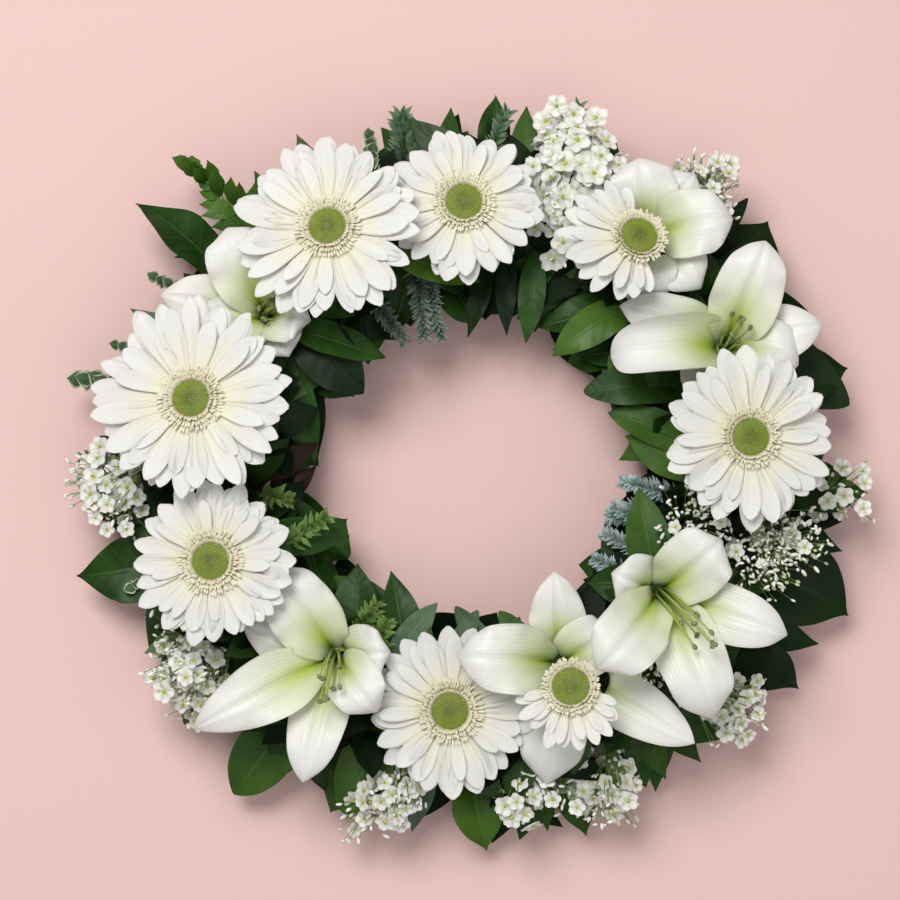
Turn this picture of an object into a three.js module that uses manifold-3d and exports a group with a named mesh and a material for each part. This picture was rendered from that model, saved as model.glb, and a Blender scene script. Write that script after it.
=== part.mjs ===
// Funeral wreath: a ring of floral foam in a shallow tray, with gerberas, lilies, white filler
// flowers, broad leaves and sprigs pushed into it. It lies flat on its tray with the flowers up.
// Millimetres, +Z up, origin under the middle of the wreath, on the surface that the tray rests on.

import * as THREE from 'three';
import { LoftGeometry } from 'three/addons/geometries/LoftGeometry.js';
import { mergeVertices } from 'three/addons/utils/BufferGeometryUtils.js';
import Module from 'manifold-3d';

const wasm = await Module();
wasm.setup();

// ---------------------------------------------------------------- driving dimensions

const CLEARANCE = 0.35;             // gap between a stalk and the hole that it sits in

const RING_INNER = 112;             // foam ring, inner radius
const RING_OUTER = 180;             // foam ring, outer radius
const RING_SIDES = 40;
const TRAY_HEIGHT = 14;
const TRAY_WALL = 2;
const FOAM_SHOULDER = 30;           // height where the foam's side turns into its dome
const FOAM_TOP = 43;                // height of the dome's crown

const STEM_DEPTH = 26;              // how deep a flower's stem goes into the foam
const STALK_DEPTH = 15;             // how deep a leaf's or a sprig's stalk goes

const GERBERA_STEM = 2.6;           // radii
const GERBERA_CALYX = 13;
const GERBERA_NECK = 8.5;
const GERBERA_HEART = 10.5;
const GERBERA_FLORETS = 18.5;
const PETAL_RING_DEPTH = 2.2;       // of the petal ring where it sits on the calyx
const PETAL_RIM = 4;                // height of the petal ring's rim
const PETAL_NOTCH = 0.16;           // depth of the notch between two petals, as a share of reach

const LILY_STEM = 2.5;
const LILY_BOSS = 8;                // radius of the boss that the six tepals grow from
const LILY_BOSS_HEIGHT = 9;
const LILY_PISTIL = 15;             // height of the pistil above the throat
const TEPAL_THICKNESS = 1.6;
const STAMEN_RADIUS = 0.9;

const LEAF_THICKNESS = 1.8;
const LEAF_STALK = 1.2;
const LEAF_STEPS = 10;
const FILLER_STALK = 1.1;
const FILLER_BRANCH = 0.8;
const FILLER_ROOT_RADIUS = 168;     // where a filler stalk enters the foam's top
const FILLER_ROOT_HEIGHT = 36;
const FILLER_HEAD = 5.6;            // radius of a head of small flowers

// Gerberas: place of the heart, reach of the petals, lean of the head away from straight up
// (mm of sideways travel per 100 mm of height), and how much longer the petals are on one side.
const GERBERAS = [
  { at: [-83, 133, 98], reach: 56, petals: 22, lean: [-12, 14] },
  { at: [-4, 150, 86], reach: 47, petals: 20, lean: [4, 12] },
  { at: [-161, 32, 100], reach: 60, petals: 24, lean: [-16, 4] },
  { at: [-150, -61, 88], reach: 48, petals: 20, lean: [-12, -4] },
  { at: [-12, -147, 67], reach: 50, petals: 20, lean: [0, -10] },
  { at: [58, -134, 90], reach: 31, petals: 16, lean: [-12, 14], longer: 0.2, longSide: -95 },
  { at: [161, 10, 98], reach: 52, petals: 22, lean: [14, -4] },
  { at: [98, 128, 92], reach: 36, petals: 18, lean: [18, 24], longer: 0.32, longSide: -155 },
];

// Lilies: place of the throat, and the tip of each tepal with its breadth.
const LILIES = [
  {
    throat: [-122, 88, 57], lean: [-6, 4], stamens: [6, 2, 24],
    tepals: [
      { tip: [-144, 137, 88], breadth: 38 }, { tip: [-184, 98, 82], breadth: 36 },
      { tip: [-95, 83, 82], breadth: 30 }, { tip: [-112, 126, 78], breadth: 22 },
      { tip: [-158, 70, 76], breadth: 22 }, { tip: [-108, 62, 74], breadth: 22 },
    ],
  },
  {
    throat: [151, 69, 57], lean: [4, 6], stamens: [6, 10, 34],
    tepals: [
      { tip: [174, 128, 90], breadth: 38 }, { tip: [209, 80, 86], breadth: 38 },
      { tip: [89, 92, 84], breadth: 40 }, { tip: [83, 60, 84], breadth: 36 },
      { tip: [194, 56, 78], breadth: 22 }, { tip: [132, 34, 74], breadth: 22 },
    ],
  },
  {
    throat: [-79, -114, 57], lean: [-6, -6], stamens: [-4, -24, 42],
    tepals: [
      { tip: [-116, -64, 79], breadth: 40 }, { tip: [-162, -158, 82], breadth: 36 },
      { tip: [-98, -189, 76], breadth: 36 }, { tip: [-47, -114, 90], breadth: 32 },
      { tip: [-54, -148, 88], breadth: 30 }, { tip: [-134, -98, 74], breadth: 24 },
    ],
  },
  {
    throat: [111, -78, 60], lean: [8, -6], stamens: [26, -30, 42],
    tepals: [
      { tip: [145, -48, 94], breadth: 40 }, { tip: [82, -68, 92], breadth: 32 },
      { tip: [72, -124, 108], breadth: 34 }, { tip: [141, -152, 84], breadth: 38 },
      { tip: [184, -104, 90], breadth: 38 }, { tip: [110, -136, 86], breadth: 22 },
    ],
  },
  {
    throat: [53, -119, 58], lean: [0, 0],
    tepals: [
      { tip: [-8, -116, 94], breadth: 38 }, { tip: [49, -66, 84], breadth: 40 },
      { tip: [45, -190, 60], breadth: 38 }, { tip: [130, -166, 80], breadth: 36 },
      { tip: [86, -100, 68], breadth: 20 }, { tip: [26, -168, 62], breadth: 20 },
    ],
  },
  {
    throat: [106, 136, 54], lean: [0, 0],
    tepals: [
      { tip: [100, 180, 80], breadth: 34 }, { tip: [156, 143, 84], breadth: 36 },
      { tip: [137, 102, 80], breadth: 30 }, { tip: [134, 172, 78], breadth: 26 },
      { tip: [66, 152, 74], breadth: 24 }, { tip: [100, 92, 72], breadth: 24 },
    ],
  },
];

// Filler sprigs: the angle round the ring where the stalk goes in, and the middle and spread of
// its head of small flowers.
const FILLERS = [
  { root: 68, middle: [62, 172, 64], spread: [24, 24, 10], heads: 8 },
  { root: 45, middle: [146, 168, 56], spread: [13, 13, 7], heads: 5 },
  { root: 176, middle: [-214, -12, 46], spread: [12, 18, 8], heads: 5 },
  { root: -143, middle: [-165, -126, 48], spread: [18, 16, 8], heads: 6 },
  { root: -104, middle: [-46, -198, 44], spread: [16, 10, 8], heads: 5 },
  { root: -80, middle: [30, -200, 42], spread: [15, 9, 7], heads: 4 },
  { root: -8, middle: [182, -46, 62], spread: [18, 9, 7], heads: 5 },
  { root: -48, middle: [156, -150, 44], spread: [18, 12, 7], heads: 4 },
  { root: -62, middle: [84, -196, 40], spread: [13, 8, 6], heads: 4 },
];

// Leaves: name, the angle and height where the stalk goes into the side of the foam, the tip,
// the breadth, and how high the blade arches over the straight line from root to tip.
const OUTER_LEAVES = [
  { root: 143, height: 30, tip: [-204, 161, 34], breadth: 30, arch: 8 },
  { root: 118, height: 27, tip: [-106, 204, 34], breadth: 18, arch: 8 },
  { root: 86, height: 27, tip: [16, 227, 40], breadth: 20, arch: 6 },
  { root: 32, height: 28, tip: [182, 150, 34], breadth: 36, arch: 8 },
  { root: 16, height: 30, tip: [230, 60, 30], breadth: 42, arch: 8 },
  { root: -4, height: 28, tip: [241, -16, 28], breadth: 34, arch: 8 },
  { root: -18, height: 28, tip: [229, -90, 22], breadth: 42, arch: 8 },
  { root: -33, height: 26, tip: [199, -134, 18], breadth: 36, arch: 6 },
  { root: -72, height: 26, tip: [70, -222, 18], breadth: 24, arch: 6 },
  { root: -91, height: 26, tip: [10, -231, 18], breadth: 26, arch: 6 },
  { root: -110, height: 26, tip: [-84, -208, 20], breadth: 30, arch: 8 },
  { root: -126, height: 26, tip: [-142, -197, 20], breadth: 36, arch: 8 },
  { root: -162, height: 26, tip: [-238, -66, 24], breadth: 36, arch: 8 },
];

const INNER_LEAVES = [
  { root: 97, height: 30, tip: [10, 84, 40], breadth: 24, arch: 8 },
  { root: 40, height: 28, tip: [54, 68, 34], breadth: 24, arch: 8 },
  { root: 146, height: 28, tip: [-70, 42, 32], breadth: 28, arch: 8 },
  { root: -148, height: 26, tip: [-74, -32, 34], breadth: 26, arch: 8 },
];

// Sprigs: a stalk with small leaves along it. The stalk goes in like a leaf's.
const SPRIGS = [
  { name: 'ruscus_sprig', root: 131, side: 1, height: 30, tip: [-158, 190, 40],
    pairs: 3, leaflet: [24, 9], colour: 0x3c6a3a },
  { name: 'rosemary_sprig', root: 103, side: 1, height: 30, tip: [-50, 212, 40],
    pairs: 3, leaflet: [14, 4], colour: 0x47684a },
  { name: 'pittosporum_sprig', root: 166, side: 1, height: 30, tip: [-233, 62, 34],
    pairs: 3, leaflet: [18, 12], colour: 0x7f9a80 },
  { name: 'spruce_twig', root: -12, side: -1, height: 28, tip: [88, -34, 36],
    pairs: 3, leaflet: [11, 4], colour: 0x8fa9a6 },
];

// ---------------------------------------------------------------- materials

function finish(colour, roughness) {
  return new THREE.MeshStandardMaterial({ color: colour, roughness, metalness: 0 });
}

const TRAY_FINISH = finish(0x1d3321, 0.5);
const FOAM_FINISH = finish(0x2f4d2c, 0.95);
const PETAL_FINISH = finish(0xf4f3ee, 0.6);
const HEART_FINISH = finish(0x86a83a, 0.7);
const TEPAL_FINISH = finish(0xf3f5ef, 0.5);
const PISTIL_FINISH = finish(0x8fa94f, 0.6);
const FILLER_FINISH = finish(0xe9eee2, 0.7);
const LEAF_FINISH = finish(0x1f4a25, 0.4);

// ---------------------------------------------------------------- solids and joins

const UP = new THREE.Vector3(0, 0, 1);

/** Turns a closed three.js geometry into a manifold-3d solid. */
function toSolid(geometry) {
  const bare = new THREE.BufferGeometry().copy(geometry);
  bare.deleteAttribute('normal');
  bare.deleteAttribute('uv');
  const merged = mergeVertices(bare, 1e-4);
  return new wasm.Manifold(new wasm.Mesh({
    numProp: 3,
    vertProperties: new Float32Array(merged.attributes.position.array),
    triVerts: new Uint32Array(merged.index.array),
  }));
}

/** Turns a manifold-3d solid back into a three.js geometry. */
function toGeometry(solid) {
  const { vertProperties, triVerts } = solid.getMesh();
  const geometry = new THREE.BufferGeometry();
  geometry.setAttribute('position', new THREE.BufferAttribute(vertProperties, 3));
  geometry.setIndex(new THREE.BufferAttribute(triVerts, 1));
  return geometry;
}

/** Joins several solids that touch into one body. */
function join(solids) {
  return solids.reduce((whole, solid) => whole.add(solid));
}

/** Takes several solids out of one. */
function cut(solid, tools) {
  return tools.reduce((body, tool) => body.subtract(tool), solid);
}

/** The largest connected body of a solid. */
function mainBody(solid) {
  return solid.decompose().reduce((best, body) => (body.volume() > best.volume() ? body : best));
}

// ---------------------------------------------------------------- shapes

/** A point at an angle (degrees) and radius round the wreath's axis. */
function polar(degrees, radius, height) {
  const turn = THREE.MathUtils.degToRad(degrees);
  return new THREE.Vector3(Math.cos(turn) * radius, Math.sin(turn) * radius, height);
}

/** Turns a geometry made along Y, round the origin, to stand along an axis from a foot. */
function standAlong(geometry, foot, axis) {
  const turn = new THREE.Quaternion().setFromUnitVectors(new THREE.Vector3(0, 1, 0), axis);
  return geometry.applyQuaternion(turn).translate(foot.x, foot.y, foot.z);
}

/** A surface of revolution round Y from [radius, height] pairs. */
function latheOf(profile, sides) {
  return new THREE.LatheGeometry(profile.map((pair) => new THREE.Vector2(...pair)), sides);
}

/** A solid of revolution from [radius, height] pairs, standing along an axis. */
function turned(profile, sides, foot, axis) {
  return toSolid(standAlong(latheOf(profile, sides), foot, axis));
}

/**
 * A strip with a lens-shaped section along a curve: a leaf, a tepal or a stalk.
 * widthAt(t) gives the half breadth, thickness is the full depth at the midrib, and fold(t)
 * drops the midrib below the edges.
 */
function strip(curve, steps, widthAt, thickness, fold, sideHint) {
  const sections = [];
  for (let step = 0; step <= steps; step++) {
    const t = step / steps;
    const centre = curve.getPoint(t);
    const ahead = curve.getTangent(t);
    const side = new THREE.Vector3().crossVectors(ahead, sideHint(t)).normalize();
    const normal = new THREE.Vector3().crossVectors(side, ahead).normalize();
    const half = widthAt(t);
    const sink = fold(t) * half;
    const depth = Math.min(thickness / 2, half);
    sections.push([
      centre.clone().addScaledVector(side, half),
      centre.clone().addScaledVector(normal, -depth - sink),
      centre.clone().addScaledVector(side, -half),
      centre.clone().addScaledVector(normal, depth - sink),
    ]);
  }
  return toSolid(new LoftGeometry(sections, { capStart: true, capEnd: true }));
}

/** A tapering rod with a square section along a curve that keeps near one upright plane. */
function rod(curve, steps, radiusAt) {
  const level = curve.getPoint(1).sub(curve.getPoint(0)).cross(UP);
  if (level.lengthSq() < 1e-6) level.set(1, 0, 0);
  return strip(curve, steps, radiusAt, Infinity, () => 0, () => level);
}

/** Half breadth of a leaf: a thin stalk, then a pointed blade. */
function leafOutline(breadth, stalkShare) {
  return (t) => {
    if (t <= stalkShare) return LEAF_STALK;
    const along = (t - stalkShare) / (1 - stalkShare);
    const blade = Math.sin(Math.PI * Math.pow(along, 0.8)) * breadth / 2;
    return Math.max(blade, along > 0.5 ? 0.5 : LEAF_STALK);
  };
}

/** A pin with straight sides that stands for a stalk, plus room round it. */
function roomRound(radius, from, to, sides) {
  const axis = new THREE.Vector3().subVectors(to, from);
  const length = axis.length();
  axis.normalize();
  return turned([[0, 0], [radius, 0], [radius, length], [0, length]], sides, from, axis);
}

/** Where a stalk enters the foam's side, its direction, and its inner end. */
function rootInSide(degrees, side, height, tip) {
  const radius = side > 0 ? RING_OUTER : RING_INNER;
  const entry = polar(degrees, radius, height);
  const outward = polar(degrees, side, 0.25).normalize();
  const towardTip = new THREE.Vector3().subVectors(tip, entry).setZ(0).normalize();
  const ahead = outward.lerp(towardTip, 0.35).normalize();
  return { entry, ahead, inner: entry.clone().addScaledVector(ahead, -STALK_DEPTH) };
}

/** The curve of a stalk and blade: straight in the foam, then an arch to the tip. */
function growthCurve(root, tip, arch) {
  const span = root.entry.distanceTo(tip);
  const bend = root.entry.clone().addScaledVector(root.ahead, span * 0.45);
  bend.z += arch;
  const curve = new THREE.CurvePath();
  curve.add(new THREE.LineCurve3(root.inner, root.entry));
  curve.add(new THREE.QuadraticBezierCurve3(root.entry, bend, tip));
  return curve;
}

const holes = [];                   // room that the stalks take out of the foam

/** Takes a six-sided hole, wide enough for a stalk of this radius, out of the foam. */
function drill(radius, from, to) {
  const below = from.clone().sub(to).setLength(CLEARANCE).add(from);
  holes.push(roomRound((radius + CLEARANCE) / Math.cos(Math.PI / 6), below, to, 6));
}

// ---------------------------------------------------------------- ring and tray

function trayProfile() {
  const inner = RING_INNER - TRAY_WALL;
  const outer = RING_OUTER + TRAY_WALL;
  return [
    [inner, 0], [outer, 0], [outer + 1.5, TRAY_HEIGHT], [outer - 0.5, TRAY_HEIGHT],
    [outer - TRAY_WALL, TRAY_WALL], [inner + TRAY_WALL, TRAY_WALL],
    [inner + 0.5, TRAY_HEIGHT], [inner - 1.5, TRAY_HEIGHT], [inner, 0],
  ];
}

function foamProfile() {
  const inner = RING_INNER + CLEARANCE;
  const outer = RING_OUTER - CLEARANCE;
  const middle = (inner + outer) / 2;
  const half = (outer - inner) / 2;
  const base = TRAY_WALL + CLEARANCE;
  const dome = [0.8, 0.4, -0.4, -0.8].map((across) => [
    middle + across * half,
    FOAM_SHOULDER + (FOAM_TOP - FOAM_SHOULDER) * Math.sqrt(1 - across * across),
  ]);
  return [
    [inner, base], [outer, base], [outer, FOAM_SHOULDER], ...dome,
    [inner, FOAM_SHOULDER], [inner, base],
  ];
}

function ringBody(profile) {
  return toSolid(latheOf(profile, RING_SIDES).rotateX(Math.PI / 2));
}

// ---------------------------------------------------------------- gerberas

/** The ring of ray petals: a shallow cup whose rim is cut into rounded petals. */
function gerberaPetals(flower, centre, axis) {
  const { reach, petals, longer = 0, longSide = 0 } = flower;
  const neck = GERBERA_NECK + CLEARANCE;
  const lathe = latheOf([
    [neck, -PETAL_RING_DEPTH], [reach, PETAL_RIM - 1.2], [reach, PETAL_RIM],
    [reach * 0.6, 1.6], [neck, 0], [neck, -PETAL_RING_DEPTH],
  ], petals * 2);
  const place = lathe.attributes.position;
  for (let i = 0; i < place.count; i++) {
    const x = place.getX(i);
    const z = place.getZ(i);
    const radius = Math.hypot(x, z);
    const outer = Math.max(0, radius - GERBERA_FLORETS) / (reach - GERBERA_FLORETS);
    const turn = Math.atan2(x, z);
    const lobe = 1 - PETAL_NOTCH * outer * (0.5 - 0.5 * Math.cos(turn * petals));
    const toward = Math.cos(Math.atan2(-z, x) - THREE.MathUtils.degToRad(longSide));
    const stretch = lobe * (1 + longer * outer * toward);
    place.setX(i, x * stretch);
    place.setZ(i, z * stretch);
  }
  return toSolid(standAlong(lathe, centre, axis));
}

/** Heart, floret ring, neck, calyx and stem in one turned body. */
function gerberaStem(centre, axis, depth) {
  const seat = -PETAL_RING_DEPTH - CLEARANCE;
  const profile = [
    [0, -depth], [GERBERA_STEM, -depth], [GERBERA_STEM, -14], [6, -11], [GERBERA_CALYX, seat],
    [GERBERA_NECK, seat], [GERBERA_NECK, CLEARANCE], [GERBERA_FLORETS, 2.6],
    [GERBERA_FLORETS - 2, 4.6], [GERBERA_HEART, 4.2], [GERBERA_HEART - 2, 6], [0, 6.6],
  ];
  return turned(profile, 12, centre, axis);
}

// ---------------------------------------------------------------- lilies

/** One tepal: a channelled strip that rises from the boss and curls out to its tip. */
function tepal(throat, axis, { tip, breadth }) {
  const end = new THREE.Vector3(...tip);
  const out = end.clone().sub(throat);
  const rise = out.dot(axis);
  const sideways = out.clone().addScaledVector(axis, -rise).normalize();
  const start = throat.clone().addScaledVector(sideways, LILY_BOSS - 2).addScaledVector(axis, -4);
  const bend = throat.clone().addScaledVector(axis, rise * 1.05).lerp(end, 0.28);
  const curve = new THREE.QuadraticBezierCurve3(start, bend, end);
  const outline = (t) => {
    const swell = 0.14 * (1 - t) + Math.sin(Math.PI * Math.pow(t, 1.25));
    return Math.max(0.6, breadth / 2 * swell);
  };
  const fold = (t) => 0.32 * (1 - t);
  const lean = axis.clone().addScaledVector(sideways, -0.6);
  return strip(curve, 5, outline, TEPAL_THICKNESS, fold, () => lean);
}

function lilyTepals(lily, throat, axis) {
  const bore = LILY_STEM + CLEARANCE;
  const boss = turned([
    [bore, -LILY_BOSS_HEIGHT], [5.5, -LILY_BOSS_HEIGHT], [LILY_BOSS, -2], [LILY_BOSS - 1.5, 0],
    [bore, -2], [bore, -LILY_BOSS_HEIGHT],
  ], 8, throat, axis);
  const below = throat.clone().addScaledVector(axis, -LILY_BOSS_HEIGHT - 3);
  const above = throat.clone().addScaledVector(axis, LILY_PISTIL + 25);
  const whole = join([boss, ...lily.tepals.map((one) => tepal(throat, axis, one))]);
  return whole.subtract(roomRound(bore, below, above, 8));
}

/** Stem, ovary and pistil in one turned body, with six stamens where the flower shows them. */
function lilyStem(lily, throat, axis, depth) {
  const { stamens } = lily;
  const parts = [turned([
    [0, -depth], [LILY_STEM, -depth], [LILY_STEM, 4], [1.4, LILY_PISTIL - 1], [0, LILY_PISTIL],
  ], 10, throat, axis)];
  if (stamens) {
    const aim = new THREE.Vector3(...stamens);
    const start = throat.clone().addScaledVector(axis, 2);
    for (let i = 0; i < 6; i++) {
      const fan = polar(60 * i, 8, 0);
      const end = throat.clone().add(aim).add(fan);
      const bend = start.clone().addScaledVector(axis, aim.z * 0.6).addScaledVector(fan, 0.3);
      const curve = new THREE.QuadraticBezierCurve3(start, bend, end);
      parts.push(rod(curve, 3, (t) => (t > 0.9 ? STAMEN_RADIUS * 2 : STAMEN_RADIUS)));
    }
  }
  return join(parts);
}

// ---------------------------------------------------------------- filler flowers and leaves

/** A branched sprig whose branches end in round heads of small white flowers. */
function fillerSprig({ root, middle, spread, heads }) {
  const centre = new THREE.Vector3(...middle);
  const entry = polar(root, FILLER_ROOT_RADIUS, FILLER_ROOT_HEIGHT);
  const ahead = centre.clone().sub(entry).normalize();
  const inner = entry.clone().addScaledVector(ahead, -STALK_DEPTH);
  const fork = entry.clone().lerp(centre, 0.6);
  drill(FILLER_STALK, inner, fork.clone().lerp(centre, 0.2));
  const stalk = new THREE.LineCurve3(inner, fork);
  const parts = [rod(stalk, 1, () => FILLER_STALK)];
  for (let i = 0; i < heads; i++) {
    const turn = i * 2.4;
    const share = Math.sqrt((i + 0.5) / heads);
    const end = centre.clone().add(new THREE.Vector3(
      Math.cos(turn) * spread[0] * share, Math.sin(turn) * spread[1] * share, spread[2] * (1 - share),
    ));
    parts.push(rod(new THREE.LineCurve3(fork, end), 1, () => FILLER_BRANCH));
    const head = new THREE.IcosahedronGeometry(FILLER_HEAD, 0);
    head.scale(1, 1, 0.8).translate(end.x, end.y, end.z);
    parts.push(toSolid(head));
  }
  return join(parts);
}

function leafBody({ root, height, tip, breadth, arch }, side) {
  const end = new THREE.Vector3(...tip);
  const foot = rootInSide(root, side, height, end);
  drill(LEAF_STALK, foot.inner, foot.entry.clone().addScaledVector(foot.ahead, 4));
  const curve = growthCurve(foot, end, arch);
  const stalkShare = (STALK_DEPTH + 3) / curve.getLength();
  const outline = leafOutline(breadth, stalkShare);
  return strip(curve, LEAF_STEPS, outline, LEAF_THICKNESS, () => 0.18, () => UP);
}

function sprigBody({ root, side, height, tip, pairs, leaflet }) {
  const end = new THREE.Vector3(...tip);
  const foot = rootInSide(root, side, height, end);
  drill(LEAF_STALK, foot.inner, foot.entry.clone().addScaledVector(foot.ahead, 4));
  const curve = growthCurve(foot, end, 6);
  const parts = [rod(curve, 6, (t) => LEAF_STALK * (1 - 0.4 * t))];
  const [length, breadth] = leaflet;
  const outline = (s) => Math.max(0.5, breadth / 2 * Math.sin(Math.PI * (0.12 + 0.82 * s)));
  for (let i = 1; i <= pairs; i++) {
    const t = 0.42 + 0.52 * i / pairs;
    const from = curve.getPoint(t);
    const ahead = curve.getTangent(t);
    for (const hand of [-1, 1]) {
      const across = new THREE.Vector3().crossVectors(UP, ahead).multiplyScalar(hand);
      const to = from.clone().addScaledVector(ahead.clone().add(across), length * 0.7);
      to.z += 2;
      parts.push(strip(new THREE.LineCurve3(from, to), 2, outline, 1.4, () => 0, () => UP));
    }
  }
  return join(parts);
}

// ---------------------------------------------------------------- assembly

const wreath = new THREE.Group();

function addPiece(name, solid, material) {
  const mesh = new THREE.Mesh(toGeometry(solid), material);
  mesh.name = name;
  wreath.add(mesh);
}

function stemAxis([leanX, leanY]) {
  return new THREE.Vector3(leanX, leanY, 100).normalize();
}

/** Length of a stem from its flower down to its cut end in the foam. */
function stemLength(centre, axis) {
  return (centre.z - FOAM_TOP + STEM_DEPTH) / axis.z;
}

const gerberaStemRoom = [];

GERBERAS.forEach((flower, index) => {
  const centre = new THREE.Vector3(...flower.at);
  const axis = stemAxis(flower.lean);
  const depth = stemLength(centre, axis);
  const cutEnd = centre.clone().addScaledVector(axis, -depth);
  drill(GERBERA_STEM, cutEnd, centre);
  gerberaStemRoom.push(roomRound(GERBERA_STEM + CLEARANCE, cutEnd, centre, 12));
  addPiece(`gerbera_${index + 1}_petals`, gerberaPetals(flower, centre, axis), PETAL_FINISH);
  addPiece(`gerbera_${index + 1}_stem`, gerberaStem(centre, axis, depth), HEART_FINISH);
});

LILIES.forEach((lily, index) => {
  const throat = new THREE.Vector3(...lily.throat);
  const axis = stemAxis(lily.lean);
  const depth = stemLength(throat, axis);
  drill(LILY_STEM, throat.clone().addScaledVector(axis, -depth), throat);
  const tepals = cut(lilyTepals(lily, throat, axis), gerberaStemRoom);
  addPiece(`lily_${index + 1}_tepals`, mainBody(tepals), TEPAL_FINISH);
  addPiece(`lily_${index + 1}_stem`, lilyStem(lily, throat, axis, depth), PISTIL_FINISH);
});

FILLERS.forEach((filler, index) => {
  addPiece(`filler_sprig_${index + 1}`, fillerSprig(filler), FILLER_FINISH);
});

OUTER_LEAVES.forEach((leaf, index) => {
  addPiece(`outer_leaf_${index + 1}`, leafBody(leaf, 1), LEAF_FINISH);
});

INNER_LEAVES.forEach((leaf, index) => {
  addPiece(`inner_leaf_${index + 1}`, leafBody(leaf, -1), LEAF_FINISH);
});

SPRIGS.forEach((sprig) => {
  addPiece(sprig.name, sprigBody(sprig), finish(sprig.colour, 0.6));
});

addPiece('ring_tray', ringBody(trayProfile()), TRAY_FINISH);
addPiece('foam_ring', cut(ringBody(foamProfile()), holes), FOAM_FINISH);

export default wreath;
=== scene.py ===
"""Finished surfaces of a funeral wreath: white gerberas, lilies and small filler flowers over dark
leaves, all pushed into a ring of floral foam that lies in a shallow tray.

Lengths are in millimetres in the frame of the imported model, and Shell.write turns them into metres.
Places, directions and sizes of the flowers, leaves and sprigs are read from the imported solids, so each
finished piece stands where its solid stands.
"""

import logging
import math
from dataclasses import dataclass, field
from enum import Enum

import bpy
import numpy as np
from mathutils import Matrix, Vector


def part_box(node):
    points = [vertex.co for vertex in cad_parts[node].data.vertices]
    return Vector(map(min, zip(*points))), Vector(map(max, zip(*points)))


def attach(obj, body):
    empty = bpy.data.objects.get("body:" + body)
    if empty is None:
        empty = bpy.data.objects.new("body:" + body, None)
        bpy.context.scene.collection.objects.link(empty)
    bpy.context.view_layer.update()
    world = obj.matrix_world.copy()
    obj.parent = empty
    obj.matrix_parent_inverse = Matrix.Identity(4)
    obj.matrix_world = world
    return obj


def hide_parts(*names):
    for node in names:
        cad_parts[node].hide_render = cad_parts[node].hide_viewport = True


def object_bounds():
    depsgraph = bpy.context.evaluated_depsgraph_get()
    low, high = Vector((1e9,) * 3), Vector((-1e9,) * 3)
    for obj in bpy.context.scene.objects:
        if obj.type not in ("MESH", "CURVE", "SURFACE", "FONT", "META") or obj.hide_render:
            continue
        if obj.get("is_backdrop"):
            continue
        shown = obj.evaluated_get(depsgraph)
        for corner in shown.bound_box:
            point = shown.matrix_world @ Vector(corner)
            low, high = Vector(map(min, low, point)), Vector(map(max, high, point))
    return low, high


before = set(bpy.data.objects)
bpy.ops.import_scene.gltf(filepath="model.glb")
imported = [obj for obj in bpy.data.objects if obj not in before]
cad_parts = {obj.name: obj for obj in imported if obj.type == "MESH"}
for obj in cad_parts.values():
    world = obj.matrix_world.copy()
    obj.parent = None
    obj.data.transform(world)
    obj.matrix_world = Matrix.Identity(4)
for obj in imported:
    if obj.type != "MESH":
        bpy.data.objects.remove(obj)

CAD_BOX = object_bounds()
MM = 1000.0  # millimetres in a metre
TURN = 2.0 * math.pi
GOLDEN_ANGLE = math.pi * (3.0 - math.sqrt(5.0))
UP = np.array([0.0, 0.0, 1.0])
LOG = logging.getLogger("wreath")
Array = np.ndarray
Material = bpy.types.Material
Socket = bpy.types.NodeSocket
Amount = Socket | float  # a number, or the socket that gives it
Colour = Socket | tuple  # a colour, or the socket that gives it


# ---- small sums

def unit(vectors: Array) -> Array:
    """Vectors scaled to length one along their last axis."""
    length = np.linalg.norm(vectors, axis=-1, keepdims=True)
    return vectors / np.maximum(length, 1e-9)


def eased(values: Array, low: float, high: float) -> Array:
    """Zero below low, one above high, and three t squared less two t cubed between."""
    t = np.clip((values - low) / (high - low), 0.0, 1.0)
    return t * t * (3.0 - 2.0 * t)


def apart(first: Array | float, second: Array | float) -> Array:
    """The turn from the second angle to the first, between minus and plus half a turn."""
    return np.angle(np.exp(1j * (first - second)))


def ring_point(angle: Array | float, radius: Array | float, height: Array | float) -> Array:
    """Points at an angle (radians), radius and height round the wreath's axis."""
    angle, radius, height = np.broadcast_arrays(angle, radius, height)
    return np.stack([np.cos(angle) * radius, np.sin(angle) * radius, height], axis=-1)


def bezier(corners: list, steps: int, crowd: float = 1.0) -> Array:
    """Curves from their control points.

    Args:
        corners: three or four arrays of shape (k, 3), the control points of k curves, or of shape (3,)
            for one curve.
        steps: the number of points on each curve.
        crowd: over one crowds the points towards the end.

    Returns:
        Points of shape (k, steps, 3). With share t, each is the sum of the control points weighed by the
        Bernstein terms of t.
    """
    t = (1.0 - (1.0 - np.linspace(0.0, 1.0, steps)) ** crowd)[None, :, None]
    order = len(corners) - 1
    total = 0.0
    for index, corner in enumerate(corners):
        weight = math.comb(order, index) * t ** index * (1.0 - t) ** (order - index)
        total = total + weight * np.atleast_2d(corner)[:, None, :]
    return total


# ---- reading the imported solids

def node_points(node: str) -> Array:
    """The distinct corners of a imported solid.

    Args:
        node: its name.

    Returns:
        The corners, (n, 3), in millimetres.
    """
    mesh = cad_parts[node].data
    flat = np.empty(len(mesh.vertices) * 3)
    mesh.vertices.foreach_get("co", flat)
    return np.unique(np.round(flat.reshape(-1, 3) * MM, 2), axis=0)


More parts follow.
